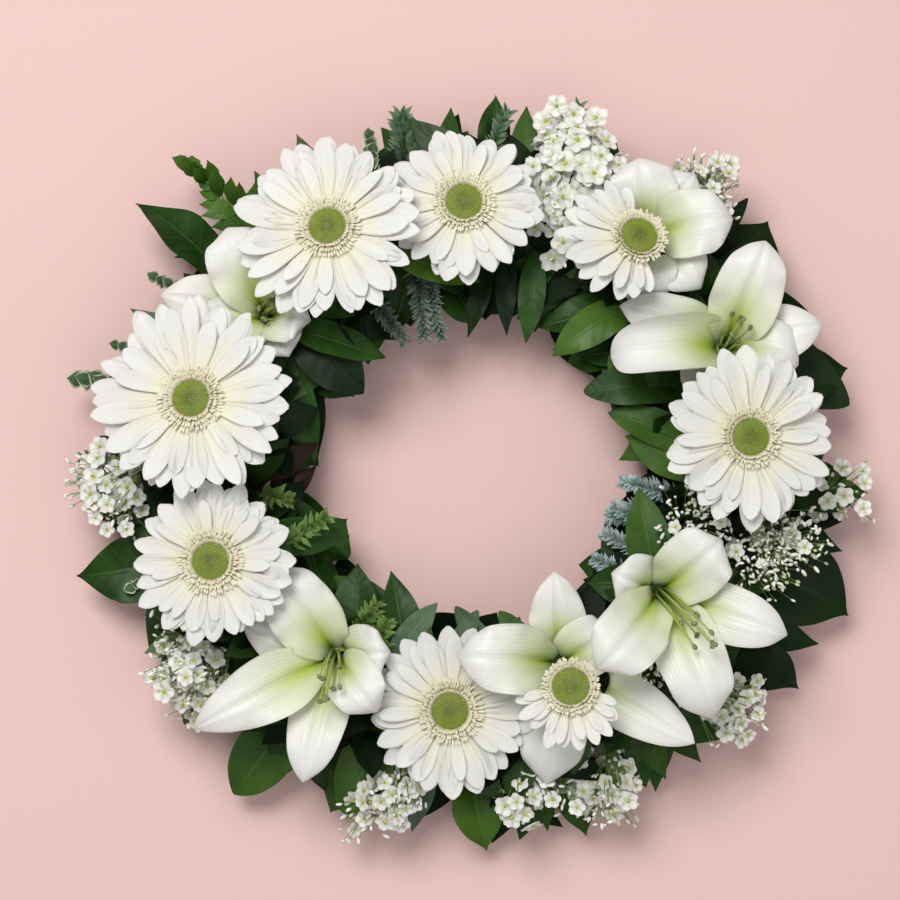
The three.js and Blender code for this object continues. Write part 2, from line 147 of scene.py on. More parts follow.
@dataclass(frozen=True)
class Pose:
    """Where a flower head sits and which way it faces."""

    middle: Array  # the point that the petals grow from
    facing: Array  # unit, out of the flower
    across: Array  # unit, level, at right angles to facing
    upward: Array  # unit, completes the three
    stem: float  # length from the middle down to the cut end

    @classmethod
    def along(cls, middle: Array, facing: Array, stem: float) -> "Pose":
        """A pose with its two sideways directions worked out.

        Args:
            middle: the point that the petals grow from.
            facing: the way that the flower faces, of any length.
            stem: length from the middle down to the cut end.

        Returns:
            The pose.
        """
        facing = unit(facing)
        across = unit(np.cross(np.array([0.0, 1.0, 0.0]), facing))
        return cls(middle, facing, across, np.cross(facing, across), stem)

    def spoke(self, angle: Array) -> Array:
        """Unit vectors out from the flower's axis at an angle round it."""
        return np.cos(angle)[..., None] * self.across + np.sin(angle)[..., None] * self.upward

    def flat(self, offset: Array) -> Array:
        """An offset from the middle, less its part along the flower's axis."""
        return offset - (offset @ self.facing)[..., None] * self.facing

    def place(self, out: Array, side: Array, rise: Array, angle: Array) -> Array:
        """Points out along a spoke, sideways from it and above the head's plane.

        Args:
            out: distance along the spoke.
            side: distance at right angles to the spoke, in the head's plane.
            rise: distance along facing.
            angle: the spoke's angle round the head, which broadcasts with the others.

        Returns:
            The points, in millimetres.
        """
        spoke = self.spoke(angle)
        beside = self.spoke(angle + math.pi / 2.0)
        return (self.middle + out[..., None] * spoke + side[..., None] * beside
                + rise[..., None] * self.facing)


# ---- meshes

@dataclass
class Patch:
    """Vertices and faces of closed surfaces, with the marks that the finishes read."""

    points: Array  # (n, 3)
    faces: Array  # (m, 4), the last entry -1 for a triangle
    along: Array  # (n,) share of the way from root to tip
    across: Array  # (n,) share of the way from one edge to the other
    tone: Array  # (n,) a value of its own for each petal or leaf
    under: Array  # (n,) one on the back, nought on the front


def repeated(faces: Array, copies: int, stride: int) -> Array:
    """The same faces for each copy of a shape, with the vertex numbers moved on.

    Args:
        faces: (m, 4) the faces of one copy.
        copies: how many copies.
        stride: how many vertices a copy has.

    Returns:
        The faces of all copies.
    """
    moved = faces[None] + (np.arange(copies) * stride)[:, None, None]
    moved = np.where(faces[None] < 0, -1, moved)
    return moved.reshape(-1, 4)


def blades(middle: Array, half: Array, tone: Array) -> Patch:
    """Closed thin blades from their middle surfaces.

    The front is the middle surface moved by its half thickness along its normal, which is the cross
    product of the steps along and across. The back is moved the other way, and the two share the blade's
    rim.

    Args:
        middle: (k, rows, columns, 3), rows from root to tip, columns from edge to edge.
        half: half thickness, which broadcasts with (k, rows, columns).
        tone: (k,) a value for each blade.

    Returns:
        The patch of all k blades.
    """
    count, rows, columns, _ = middle.shape
    normal = unit(np.cross(np.gradient(middle, axis=1), np.gradient(middle, axis=2)))
    lift = normal * np.broadcast_to(half, middle.shape[:3])[..., None]
    rim = np.zeros((rows, columns), dtype=bool)
    rim[[0, -1], :] = True
    rim[:, [0, -1]] = True
    front = np.where(rim[None, :, :, None], middle, middle + lift)
    back = (middle - lift)[:, 1:-1, 1:-1]
    grid = np.arange(rows * columns).reshape(rows, columns)
    behind = grid.copy()
    hidden = (rows - 2) * (columns - 2)
    behind[1:-1, 1:-1] = rows * columns + np.arange(hidden).reshape(rows - 2, columns - 2)

    def quads(index: Array) -> Array:
        """Quads of a grid of vertex numbers, facing along the normal."""
        cell = np.stack([index[:-1, :-1], index[1:, :-1], index[1:, 1:], index[:-1, 1:]], axis=-1)
        return cell.reshape(-1, 4)

    faces = np.concatenate([quads(grid), quads(behind)[:, ::-1]])
    stride = rows * columns + hidden
    points = np.concatenate([front.reshape(count, -1, 3), back.reshape(count, -1, 3)], axis=1)
    u, v = np.meshgrid(np.linspace(0, 1, rows), np.linspace(0, 1, columns), indexing="ij")
    along = np.concatenate([u.ravel(), u[1:-1, 1:-1].ravel()])
    across = np.concatenate([v.ravel(), v[1:-1, 1:-1].ravel()])
    under = np.concatenate([np.zeros(rows * columns), np.ones(hidden)])
    return Patch(points.reshape(-1, 3), repeated(faces, count, stride), np.tile(along, count),
                 np.tile(across, count), np.repeat(tone, stride), np.tile(under, count))


def tube(rows: int, sides: int) -> tuple:
    """The faces of rings joined one to the next and closed on a pole at either end.

    The vertices are the foot's pole, then the rings in order, then the head's pole.

    Args:
        rows: how many rings.
        sides: the number of points in a ring.

    Returns:
        The faces, and for each vertex its share from foot to head and its share round.
    """
    ring = 1 + np.arange(rows * sides).reshape(rows, sides)
    following = np.roll(ring, -1, axis=1)
    wall = np.stack([ring[:-1], following[:-1], following[1:], ring[1:]], axis=-1).reshape(-1, 4)
    none = np.full(sides, -1)
    foot = np.stack([np.zeros(sides, dtype=int), following[0], ring[0], none], axis=-1)
    head = np.stack([np.full(sides, 1 + rows * sides), ring[-1], following[-1], none], axis=-1)
    share = np.concatenate([[0.0], np.repeat(np.linspace(0, 1, rows), sides), [1.0]])
    spin = np.concatenate([[0.5], np.tile(np.arange(sides) / sides, rows), [0.5]])
    return np.concatenate([wall, foot, head]), share, spin


def rods(paths: Array, radius: Array, sides: int, tone: Array | float = 0.5) -> Patch:
    """Closed rods along paths, with a round section and a point at each end.

    A ring point is the path's point plus the radius times the cosine of its angle along the side and the
    sine along the binormal.

    Args:
        paths: (k, rows, 3).
        radius: broadcasts with (k, rows).
        sides: the number of points round a rod.
        tone: one tone value, or one for each rod.

    Returns:
        The patch of all k rods.
    """
    count, rows, _ = paths.shape
    ahead = unit(np.gradient(paths, axis=1))
    chord = unit(paths[:, -1] - paths[:, 0])
    helper = np.where(np.abs(chord[:, 2:3]) > 0.85, np.array([1.0, 0.0, 0.0]), UP)
    level = unit(np.cross(chord, helper))[:, None, :]
    binormal = unit(np.cross(ahead, level))
    side = np.cross(binormal, ahead)
    turn = np.arange(sides) * TURN / sides
    around = np.cos(turn)[:, None] * side[:, :, None] + np.sin(turn)[:, None] * binormal[:, :, None]
    size = np.broadcast_to(radius, paths.shape[:2])[:, :, None, None]
    rings = (paths[:, :, None, :] + around * size).reshape(count, -1, 3)
    points = np.concatenate([paths[:, :1], rings, paths[:, -1:]], axis=1)
    faces, share, spin = tube(rows, sides)
    tones = np.repeat(np.broadcast_to(tone, (count,)), len(share))
    return Patch(points.reshape(-1, 3), repeated(faces, count, len(share)), np.tile(share, count),
                 np.tile(spin, count), tones, np.zeros(len(tones)))


def tapered(paths: Array, thick: float, thin: float, sides: int) -> Patch:
    """Rods whose radius falls evenly from thick at the foot to thin at the end."""
    return rods(paths, np.linspace(thick, thin, paths.shape[1])[None], sides)


def turned(pose: Pose, profile: list, sides: int) -> Patch:
    """One closed surface of revolution round a flower's axis.

    Args:
        pose: the flower whose axis it is turned on.
        profile: (radius, height) pairs from the lowest to the highest, off the axis.
        sides: the number of points round it.

    Returns:
        The patch: each ring point lies out along a spoke by its radius and up by its height, and both
        ends close on the axis.
    """
    radius, height = np.array(profile).T
    path = pose.middle + height[:, None] * pose.facing
    spokes = pose.spoke(np.arange(sides) * TURN / sides)
    rings = path[:, None, :] + radius[:, None, None] * spokes[None]
    points = np.concatenate([path[:1], rings.reshape(-1, 3), path[-1:]])
    faces, share, spin = tube(len(profile), sides)
    return Patch(points, faces, share, spin, np.full(len(points), 0.5), np.zeros(len(points)))


def beads(middle: Array, radius: Array, facing: Array, tall: float, sides: int,
          tone: Array | float = 0.5) -> Patch:
    """Small closed round bodies, each with four rings and two poles.

    Args:
        middle: (k, 3).
        radius: (k,).
        facing: (k, 3) the direction that each body is stretched along.
        tall: half height as a share of the radius.
        sides: the number of points in a ring.
        tone: one tone value, or one for each body.

    Returns:
        The patch of all k bodies.
    """
    reach = (radius * tall)[:, None] * unit(facing)
    paths = middle[:, None, :] + reach[:, None, :] * np.array([-1.0, -0.45, 0.45, 1.0])[None, :, None]
    size = radius[:, None] * np.array([0.35, 0.93, 0.9, 0.3])[None, :]
    return rods(paths, size, sides, tone)


def merged(patches: list[Patch]) -> Patch:
    """Several patches as one.

    Args:
        patches: the patches.

    Returns:
        Their vertices and faces, in order.
    """
    shift = np.cumsum([0] + [len(p.points) for p in patches[:-1]])
    faces = [np.where(p.faces < 0, -1, p.faces + s) for p, s in zip(patches, shift)]
    marks = [np.concatenate([getattr(p, name) for p in patches])
             for name in ("along", "across", "tone", "under")]
    return Patch(np.concatenate([p.points for p in patches]), np.concatenate(faces), *marks)


@dataclass
class Shell:
    """One named piece, gathered from patches and written as one Blender mesh."""

    name: str
    slot: str
    parts: list = field(default_factory=list)

    def add(self, patch: Patch, finish: "Finish") -> None:
        """Adds a patch in a finish."""
        self.parts.append((patch, finish))

    def write(self, *replaces: str) -> None:
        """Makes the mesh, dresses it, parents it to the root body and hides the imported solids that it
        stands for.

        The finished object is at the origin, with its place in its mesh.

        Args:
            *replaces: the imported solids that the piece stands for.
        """
        whole = merged([patch for patch, _ in self.parts])
        finishes = list(dict.fromkeys(finish for _, finish in self.parts))
        owner = np.concatenate([np.full(len(patch.faces), finishes.index(finish))
                                for patch, finish in self.parts])
        corners = whole.faces.ravel()
        loops = corners[corners >= 0]
        sizes = (whole.faces >= 0).sum(axis=1)
        mesh = bpy.data.meshes.new(self.name)
        mesh.vertices.add(len(whole.points))
        mesh.vertices.foreach_set("co", (whole.points / MM).ravel())
        mesh.loops.add(len(loops))
        mesh.loops.foreach_set("vertex_index", loops.astype(np.int32))
        mesh.polygons.add(len(sizes))
        mesh.polygons.foreach_set("loop_start", (np.cumsum(sizes) - sizes).astype(np.int32))
        mesh.polygons.foreach_set("material_index", owner.astype(np.int32))
        mesh.polygons.foreach_set("use_smooth", np.ones(len(sizes), dtype=bool))
        mesh.update(calc_edges=True)
        mesh.set_sharp_from_angle(angle=math.radians(80.0))
        layer = mesh.uv_layers.new(name="UVMap")
        layer.data.foreach_set("uv", np.stack([whole.along, whole.across], axis=-1)[loops].ravel())
        for mark in ("tone", "under"):
            attribute = mesh.attributes.new(mark, "FLOAT", "POINT")
            attribute.data.foreach_set("value", getattr(whole, mark))
        for finish in finishes:
            mesh.materials.append(finish.material())
        piece = bpy.data.objects.new(self.name, mesh)
        bpy.context.scene.collection.objects.link(piece)
        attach(piece, "root")
        if replaces:
            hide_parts(*replaces)
        LOG.info("%s: %d faces", self.name, len(sizes))


# ---- finishes

class Shader:
    """Builds one node material in a few words."""

    def __init__(self, name: str) -> None:
        """Starts the material of that name with its Principled shader."""
        self.material = bpy.data.materials.new(name)
        self.material.use_nodes = True
        self.tree = self.material.node_tree
        self.surface = self.tree.nodes["Principled BSDF"]

    def node(self, kind: str, inputs: dict | None = None, **settings: object) -> bpy.types.Node:
        """Adds a node.

        Args:
            kind: the node's type name.
            inputs: values or sockets for its inputs.
            **settings: properties of the node.

        Returns:
            The node.
        """
        made = self.tree.nodes.new(kind)
        for key, value in settings.items():
            setattr(made, key, value)
        for key, value in (inputs or {}).items():
            self.put(made.inputs[key], value)
        return made

    def put(self, socket: Socket, value: Amount | Colour) -> None:
        """Feeds an input.

        Args:
            socket: the input.
            value: a socket to link, or its value; a plain colour is made opaque.
        """
        if isinstance(value, tuple) and socket.type == "RGBA":
            value = (*value, 1.0)
        if isinstance(value, Socket):
            self.tree.links.new(value, socket)
        else:
            socket.default_value = value

    def sum(self, operation: str, first: Amount, second: Amount = 0.0, clamp: bool = False) -> Socket:
        """The result of a Math node, held between nought and one if clamp is set."""
        made = self.node("ShaderNodeMath", {0: first, 1: second}, operation=operation, use_clamp=clamp)
        return made.outputs[0]

    def times(self, first: Amount, second: Amount, clamp: bool = False) -> Socket:
        """One value multiplied by another."""
        return self.sum("MULTIPLY", first, second, clamp)

    def plus(self, first: Amount, second: Amount) -> Socket:
        """Two values added."""
        return self.sum("ADD", first, second)

    def less(self, first: Amount, second: Amount) -> Socket:
        """The second value taken from the first."""
        return self.sum("SUBTRACT", first, second)

    def waves(self, value: Amount, number: float) -> Socket:
        """A sine that goes through a number of waves while the value goes from nought to one."""
        return self.sum("SINE", self.times(value, number * TURN))

    def mark(self, name: str) -> Socket:
        """A value that the mesh carries at each vertex."""
        return self.node("ShaderNodeAttribute", attribute_name=name).outputs["Fac"]

    def chart(self) -> tuple:
        """The shares along and across, from the piece's own UV map."""
        place = self.node("ShaderNodeUVMap", uv_map="UVMap").outputs["UV"]
        parts = self.node("ShaderNodeSeparateXYZ", {0: place})
        return parts.outputs["X"], parts.outputs["Y"]

    def from_middle(self, across: Amount) -> Socket:
        """Nought at the midrib and one at either edge."""
        return self.times(self.sum("ABSOLUTE", self.less(across, 0.5)), 2.0)

    def ease(self, value: Amount, low: float, high: float, start: float = 0.0, end: float = 1.0) -> Socket:
        """A value carried smoothly from start, at low and below, to end, at high and above."""
        made = self.node("ShaderNodeMapRange", {"Value": value, "From Min": low, "From Max": high,
                                                "To Min": start, "To Max": end},
                         interpolation_type="SMOOTHSTEP")
        return made.outputs["Result"]

    def blend(self, share: Amount, first: Colour, second: Colour) -> Socket:
        """Two colours mixed, from all the first at a share of nought to all the second at one."""
        made = self.node("ShaderNodeMix", {0: share, 6: first, 7: second}, data_type="RGBA")
        return made.outputs[2]

    def grain(self, scale: float, detail: float = 2.0, kind: str = "ShaderNodeTexNoise") -> Socket:
        """A noise value over the piece's own coordinates.

        Args:
            scale: spots a metre.
            detail: how many finer layers it has, where the kind has them.
            kind: the texture node's type name.

        Returns:
            The noise.
        """
        place = self.node("ShaderNodeTexCoord").outputs["Object"]
        made = self.node(kind, {"Vector": place, "Scale": scale})
        if "Detail" in made.inputs:
            made.inputs["Detail"].default_value = detail
        return made.outputs[0]

    def relief(self, height: Socket, depth_mm: float, strength: float) -> None:
        """Raises the surface by a height value, to a depth in millimetres."""
        inputs = {"Height": height, "Distance": depth_mm / MM, "Strength": strength}
        self.put(self.surface.inputs["Normal"], self.node("ShaderNodeBump", inputs).outputs[0])

    def finish(self, colour: Colour, roughness: Amount, **settings: float | tuple) -> Material:
        """Sets the shader's own sockets and hands back the material.

        Args:
            colour: a colour, or the socket that gives it.
            roughness: a value, or the socket that gives it.
            **settings: other inputs by name, with underscores for spaces.

        Returns:
            The material.
        """
        self.put(self.surface.inputs["Base Color"], colour)
        self.put(self.surface.inputs["Roughness"], roughness)
        for key, value in settings.items():
            self.surface.inputs[key.replace("_", " ")].default_value = value
        return self.material


@dataclass(frozen=True)
class Finish:
    """A named finish, made into a material once."""

    name: str

    def material(self) -> Material:
        """The finish's material, built the first time that it is asked for."""
        found = bpy.data.materials.get(self.name)
        return found or self.build(Shader(self.name))

    def build(self, shader: Shader) -> Material:
        """Builds the material; each kind of finish has its own.

        Args:
            shader: the new material's shader.

        Returns:
            The material.
        """
        raise NotImplementedError


@dataclass(frozen=True)
class PetalFinish(Finish):
    """Thin white petal, cream at its root, with fine grooves along it whose troughs are greyed with painted
    shade.
    """

    body: tuple = (0.83, 0.845, 0.815)
    root: tuple = (0.85, 0.82, 0.63)
    grooves: float = 7.0

    def build(self, shader: Shader) -> Material:
        """White mixed with cream by the share along, grooves a sine of the share across, and painted shade
        greys each groove's trough.

        Args:
            shader: the new material's shader.

        Returns:
            The material.
        """
        along, across = shader.chart()
        waves = shader.waves(across, self.grooves)
        white = shader.blend(shader.mark("tone"), tuple(0.95 * c for c in self.body), self.body)
        # painted shade: up to 7% grey mixed into the trough of each groove
        groove_painted_shade = shader.blend(shader.ease(waves, -1.0, 0.0, 0.07, 0.0), white, (0.62, 0.65, 0.62))
        colour = shader.blend(shader.ease(along, 0.05, 0.62), self.root, groove_painted_shade)
        shader.relief(waves, 0.06, 0.5)
        return shader.finish(colour, 0.6, Subsurface_Weight=0.4, Subsurface_Scale=0.0015,
                             Subsurface_Radius=(1.0, 1.0, 0.9), Specular_IOR_Level=0.2)


@dataclass(frozen=True)
class TepalFinish(Finish):
    """White lily tepal, green-yellow in the throat and along the midrib, with painted shade that darkens
    the green deep in the throat and greys the vein lines.
    """

    body: tuple = (0.83, 0.85, 0.81)
    wash: tuple = (0.72, 0.79, 0.50)
    flush: tuple = (0.42, 0.54, 0.07)
    # the lily's own green, darkened with painted shade for the deep throat
    throat: tuple = (0.13, 0.25, 0.015)
    veins: float = 17.0

    def build(self, shader: Shader) -> Material:
        """Green falls off along the tepal and away from its midrib, and deepens with painted shade into the
        throat; veins are bent sines, drawn as grey-green lines that are partly their own colour and partly
        painted shade.

        Args:
            shader: the new material's shader.

        Returns:
            The material.
        """
        along, across = shader.chart()
        off = shader.from_middle(across)
        near_rib = shader.ease(off, 0.0, 0.62, 1.0, 0.0)
        low = shader.ease(along, 0.14, 0.66, 1.0, 0.0)
        glow = shader.times(low, shader.plus(shader.times(near_rib, 0.85), 0.25), clamp=True)
        fading = shader.ease(along, 0.3, 0.95, 1.0, 0.0)
        rib = shader.times(shader.ease(off, 0.0, 0.05, 0.32, 0.0), fading)
        share = shader.sum("MAXIMUM", glow, rib)
        bent = shader.plus(across, shader.times(shader.grain(30.0), 0.10))
        veins = shader.waves(bent, self.veins)
        # vein lines painted grey-green: partly the veins' own colour, partly painted shade in their grooves
        white = shader.blend(shader.ease(veins, -1.0, 0.2, 0.07, 0.0), self.body, (0.55, 0.61, 0.56))
        white = shader.blend(shader.ease(along, 0.20, 0.72, 0.75, 0.0), white, self.wash)
        # the lily's green, darkening with painted shade to the throat colour at the very base
        green = shader.blend(shader.ease(along, 0.06, 0.24, 1.0, 0.0), self.flush, self.throat)
        shader.relief(veins, 0.07, 0.5)
        return shader.finish(shader.blend(share, white, green), 0.40, Subsurface_Weight=0.4,
                             Subsurface_Scale=0.002, Subsurface_Radius=(1.0, 1.0, 0.9),
                             Specular_IOR_Level=0.35)


@dataclass(frozen=True)
class LeafFinish(Finish):
    """Leaf with a pale midrib and side veins, and a paler dull back."""

    body: tuple = (0.009, 0.034, 0.004)
    light: tuple = (0.026, 0.082, 0.010)
    back: tuple = (0.055, 0.100, 0.030)
    margin: tuple | None = None
    gloss: float = 0.40
    shine: float = 0.15
    veins: float = 9.0

    def build(self, shader: Shader) -> Material:
        """Side veins run out and forward: a sine of the share along less the share from the rib.

        Args:
            shader: the new material's shader.

        Returns:
            The material.
        """
        along, across = shader.chart()
        off = shader.from_middle(across)
        slant = shader.less(along, shader.times(off, 0.13))
        ribs = shader.waves(slant, self.veins)
        mottle = shader.ease(shader.grain(55.0), 0.35, 0.68)
        mixed = shader.times(shader.plus(mottle, shader.mark("tone")), 0.5)
        face = shader.blend(mixed, self.body, self.light)
        face = shader.blend(shader.ease(ribs, 0.90, 1.0, 0.0, 0.22), face, self.back)
        face = shader.blend(shader.ease(off, 0.015, 0.06, 0.6, 0.0), face, self.back)
        if self.margin:
            ragged = shader.plus(off, shader.times(shader.grain(180.0), 0.5))
            face = shader.blend(shader.ease(ragged, 0.93, 1.02), face, self.margin)
        colour = shader.blend(shader.mark("under"), face, self.back)
        rough = shader.ease(shader.mark("under"), 0.0, 1.0, self.gloss, 0.65)
        shader.relief(shader.less(shader.ease(off, 0.0, 0.09), shader.times(ribs, 0.18)), 0.35, 0.6)
        return shader.finish(colour, rough, Specular_IOR_Level=self.shine, Coat_Weight=0.2 * self.shine,
                             Coat_Roughness=0.3)


@dataclass(frozen=True)
class SoftFinish(Finish):
    """Matt plant surface with two colours mottled together, such as a stalk, bud or heart."""

    body: tuple = (0.16, 0.28, 0.06)
    other: tuple = (0.26, 0.38, 0.10)
    spots: float = 300.0
    rough: float = 0.6
    bump_mm: float = 0.15

    def build(self, shader: Shader) -> Material:
        """The two colours are mixed by fine noise, which also raises the surface."""
        grain = shader.grain(self.spots)
        shader.relief(grain, self.bump_mm, 0.8)
        return shader.finish(shader.blend(shader.ease(grain, 0.35, 0.65), self.body, self.other),
                             self.rough, Subsurface_Weight=0.08, Subsurface_Scale=0.001,
                             Specular_IOR_Level=0.3)


@dataclass(frozen=True)
class FilamentFinish(Finish):
    """Stamen and pistil: yellow-green, darkened to olive with painted shade at the root deep in the throat.
    """

    # painted shade: the dark olive stands for the shade deep in the throat
    root: tuple = (0.030, 0.060, 0.006)
    end: tuple = (0.34, 0.42, 0.09)

    def build(self, shader: Shader) -> Material:
        """The colour follows the share along, from painted throat shade at the root to yellow-green at the
        end, over fine streaks.
        """
        along, _ = shader.chart()
        streak = shader.grain(400.0)
        # painted shade at the root, fading to the filament's own yellow-green
        colour = shader.blend(shader.ease(along, 0.08, 0.75), self.root, self.end)
        shader.relief(streak, 0.08, 0.5)
        return shader.finish(colour, 0.45, Subsurface_Weight=0.1, Subsurface_Scale=0.001,
                             Specular_IOR_Level=0.4)


@dataclass(frozen=True)
class HeartFinish(Finish):
    """Velvety heart: deep lime in its middle, pale lime round it, dull at its edge."""

    middle: tuple = (0.12, 0.22, 0.006)
    ring: tuple = (0.29, 0.39, 0.05)
    edge: tuple = (0.18, 0.27, 0.03)

    def build(self, shader: Shader) -> Material:
        """The tone mark is the share of the heart's radius, and picks between the colours."""
        share = shader.mark("tone")
        inner = shader.blend(shader.ease(share, 0.10, 0.55), self.middle, self.ring)
        colour = shader.blend(shader.ease(share, 0.82, 1.0), inner, self.edge)
        shader.relief(shader.grain(900.0), 0.1, 0.6)
        return shader.finish(colour, 1.0, Specular_IOR_Level=0.04)


@dataclass(frozen=True)
class FoamFinish(Finish):
    """Wet floral foam: dark green, open-celled and dull."""

    def build(self, shader: Shader) -> Material:
        """Cells are a fine cellular pattern, over slow patches of wetter and drier foam."""
        cells = shader.grain(900.0, kind="ShaderNodeTexVoronoi")
        wet = shader.ease(shader.grain(25.0), 0.35, 0.65)
        colour = shader.blend(wet, (0.012, 0.038, 0.014), (0.030, 0.075, 0.026))
        shader.relief(cells, 0.6, 1.0)
        return shader.finish(colour, shader.ease(wet, 0.0, 1.0, 0.7, 0.95), Specular_IOR_Level=0.2)


@dataclass(frozen=True)
class TrayFinish(Finish):
    """Dark green moulded plastic with a fine grain and light scuffs."""

    def build(self, shader: Shader) -> Material:
        """Scuffs are slow noise in the roughness and the colour."""
        scuff = shader.ease(shader.grain(30.0, 6.0), 0.45, 0.72)
        colour = shader.blend(scuff, (0.010, 0.030, 0.014), (0.022, 0.048, 0.026))
        shader.relief(shader.grain(1400.0), 0.05, 0.6)
        return shader.finish(colour, shader.ease(scuff, 0.0, 1.0, 0.38, 0.6), Specular_IOR_Level=0.5)


PETAL = PetalFinish("white_petal")
FLORET = PetalFinish("cream_floret", (0.90, 0.85, 0.66), (0.62, 0.57, 0.26), grooves=1.0)
TEPAL = TepalFinish("white_tepal")
HEART = HeartFinish("lime_heart")
CORE = SoftFinish("blossom_centre", (0.34, 0.40, 0.06), (0.52, 0.54, 0.12), rough=0.75)
HEART_BED = SoftFinish("heart_bed", (0.24, 0.25, 0.09), (0.36, 0.35, 0.16))
SPECK = SoftFinish("brown_speck", (0.10, 0.08, 0.03), (0.22, 0.18, 0.08))
STALK = SoftFinish("green_stalk", (0.10, 0.19, 0.04), (0.17, 0.27, 0.07), spots=120.0)
FILAMENT = FilamentFinish("green_filament")
KNOB = SoftFinish("olive_knob", (0.11, 0.14, 0.05), (0.26, 0.30, 0.14))
BLOSSOM = PetalFinish("small_white_blossom", (0.89, 0.91, 0.86), (0.76, 0.81, 0.58), grooves=1.0)
PUFF = SoftFinish("white_puff", (0.80, 0.83, 0.74), (0.94, 0.95, 0.90), rough=0.8)
BUD = SoftFinish("green_bud", (0.42, 0.52, 0.26), (0.66, 0.72, 0.48))
DARK_LEAF = LeafFinish("dark_leaf")
# painted shade: near-black leaves that stand for the deep shade in the gaps between the other leaves
PAINTED_SHADE_LEAF = LeafFinish("painted_shade_leaf", (0.002, 0.007, 0.002), (0.005, 0.016, 0.003),
                       (0.007, 0.016, 0.005), gloss=0.6, shine=0.10)
# painted shade: near-black leaves that stand for leaves lying deep in shadow
NEAR_BLACK_SHADE_LEAF = LeafFinish("near_black_shade_leaf", (0.003, 0.012, 0.003), (0.008, 0.028, 0.005),
                        (0.012, 0.03, 0.010), gloss=0.4, shine=0.12)
MID_LEAF = LeafFinish("mid_green_leaf", (0.026, 0.078, 0.009), (0.058, 0.130, 0.016),
                      (0.08, 0.15, 0.04), gloss=0.5)
BRIGHT_LEAF = LeafFinish("bright_leaf", (0.030, 0.090, 0.009), (0.075, 0.17, 0.018),
                         (0.10, 0.18, 0.05), gloss=0.36)
GREY_LEAF = LeafFinish("grey_green_leaf", (0.05, 0.10, 0.05), (0.11, 0.18, 0.10),
                       (0.18, 0.25, 0.16), gloss=0.6)
PIED_LEAF = LeafFinish("cream_edged_leaf", (0.07, 0.15, 0.07), (0.13, 0.23, 0.12),
                       (0.22, 0.30, 0.20), margin=(0.62, 0.66, 0.50), gloss=0.5)
WINE_LEAF = LeafFinish("dark_wine_leaf", (0.012, 0.005, 0.004), (0.028, 0.010, 0.007),
                       (0.04, 0.022, 0.014), gloss=0.45)
OLIVE_LEAF = LeafFinish("olive_leaf", (0.06, 0.10, 0.025), (0.13, 0.17, 0.05),
                        (0.20, 0.22, 0.10), gloss=0.45)
SILVER_NEEDLE = SoftFinish("silver_needle", (0.24, 0.34, 0.33), (0.50, 0.60, 0.60), spots=150.0)
FROSTED_NEEDLE = SoftFinish("frosted_needle", (0.11, 0.17, 0.13), (0.25, 0.31, 0.26), spots=150.0)
GREEN_NEEDLE = SoftFinish("green_needle", (0.07, 0.15, 0.08), (0.16, 0.26, 0.15), spots=150.0)
TWIG = SoftFinish("brown_twig", (0.10, 0.07, 0.04), (0.18, 0.14, 0.08))
FOAM = FoamFinish("wet_foam")
TRAY = TrayFinish("tray_plastic")


# ---- gerberas

PETAL_CROWD = 1.7  # power that crowds the rows of a ray petal towards its tip


@dataclass(frozen=True)
class PetalRow:
    """One row of ray petals round a gerbera."""

    count: int
    reach: float  # share of the head's full reach
    breadth: float  # millimetres
    lift: float  # height of the roots above the head's plane
    slope: float  # how far the petals climb, as a share of their length
    curl: float  # how far the tips come up or go down, as such a share


@dataclass(frozen=True)
class FloretRing:
    """One ring of tiny strap-shaped florets round a gerbera's heart."""

    count: int
    start: float  # radius of their roots
    end: float  # radius of their tips
    lift: float  # height of their roots
    climb: float  # height that they gain


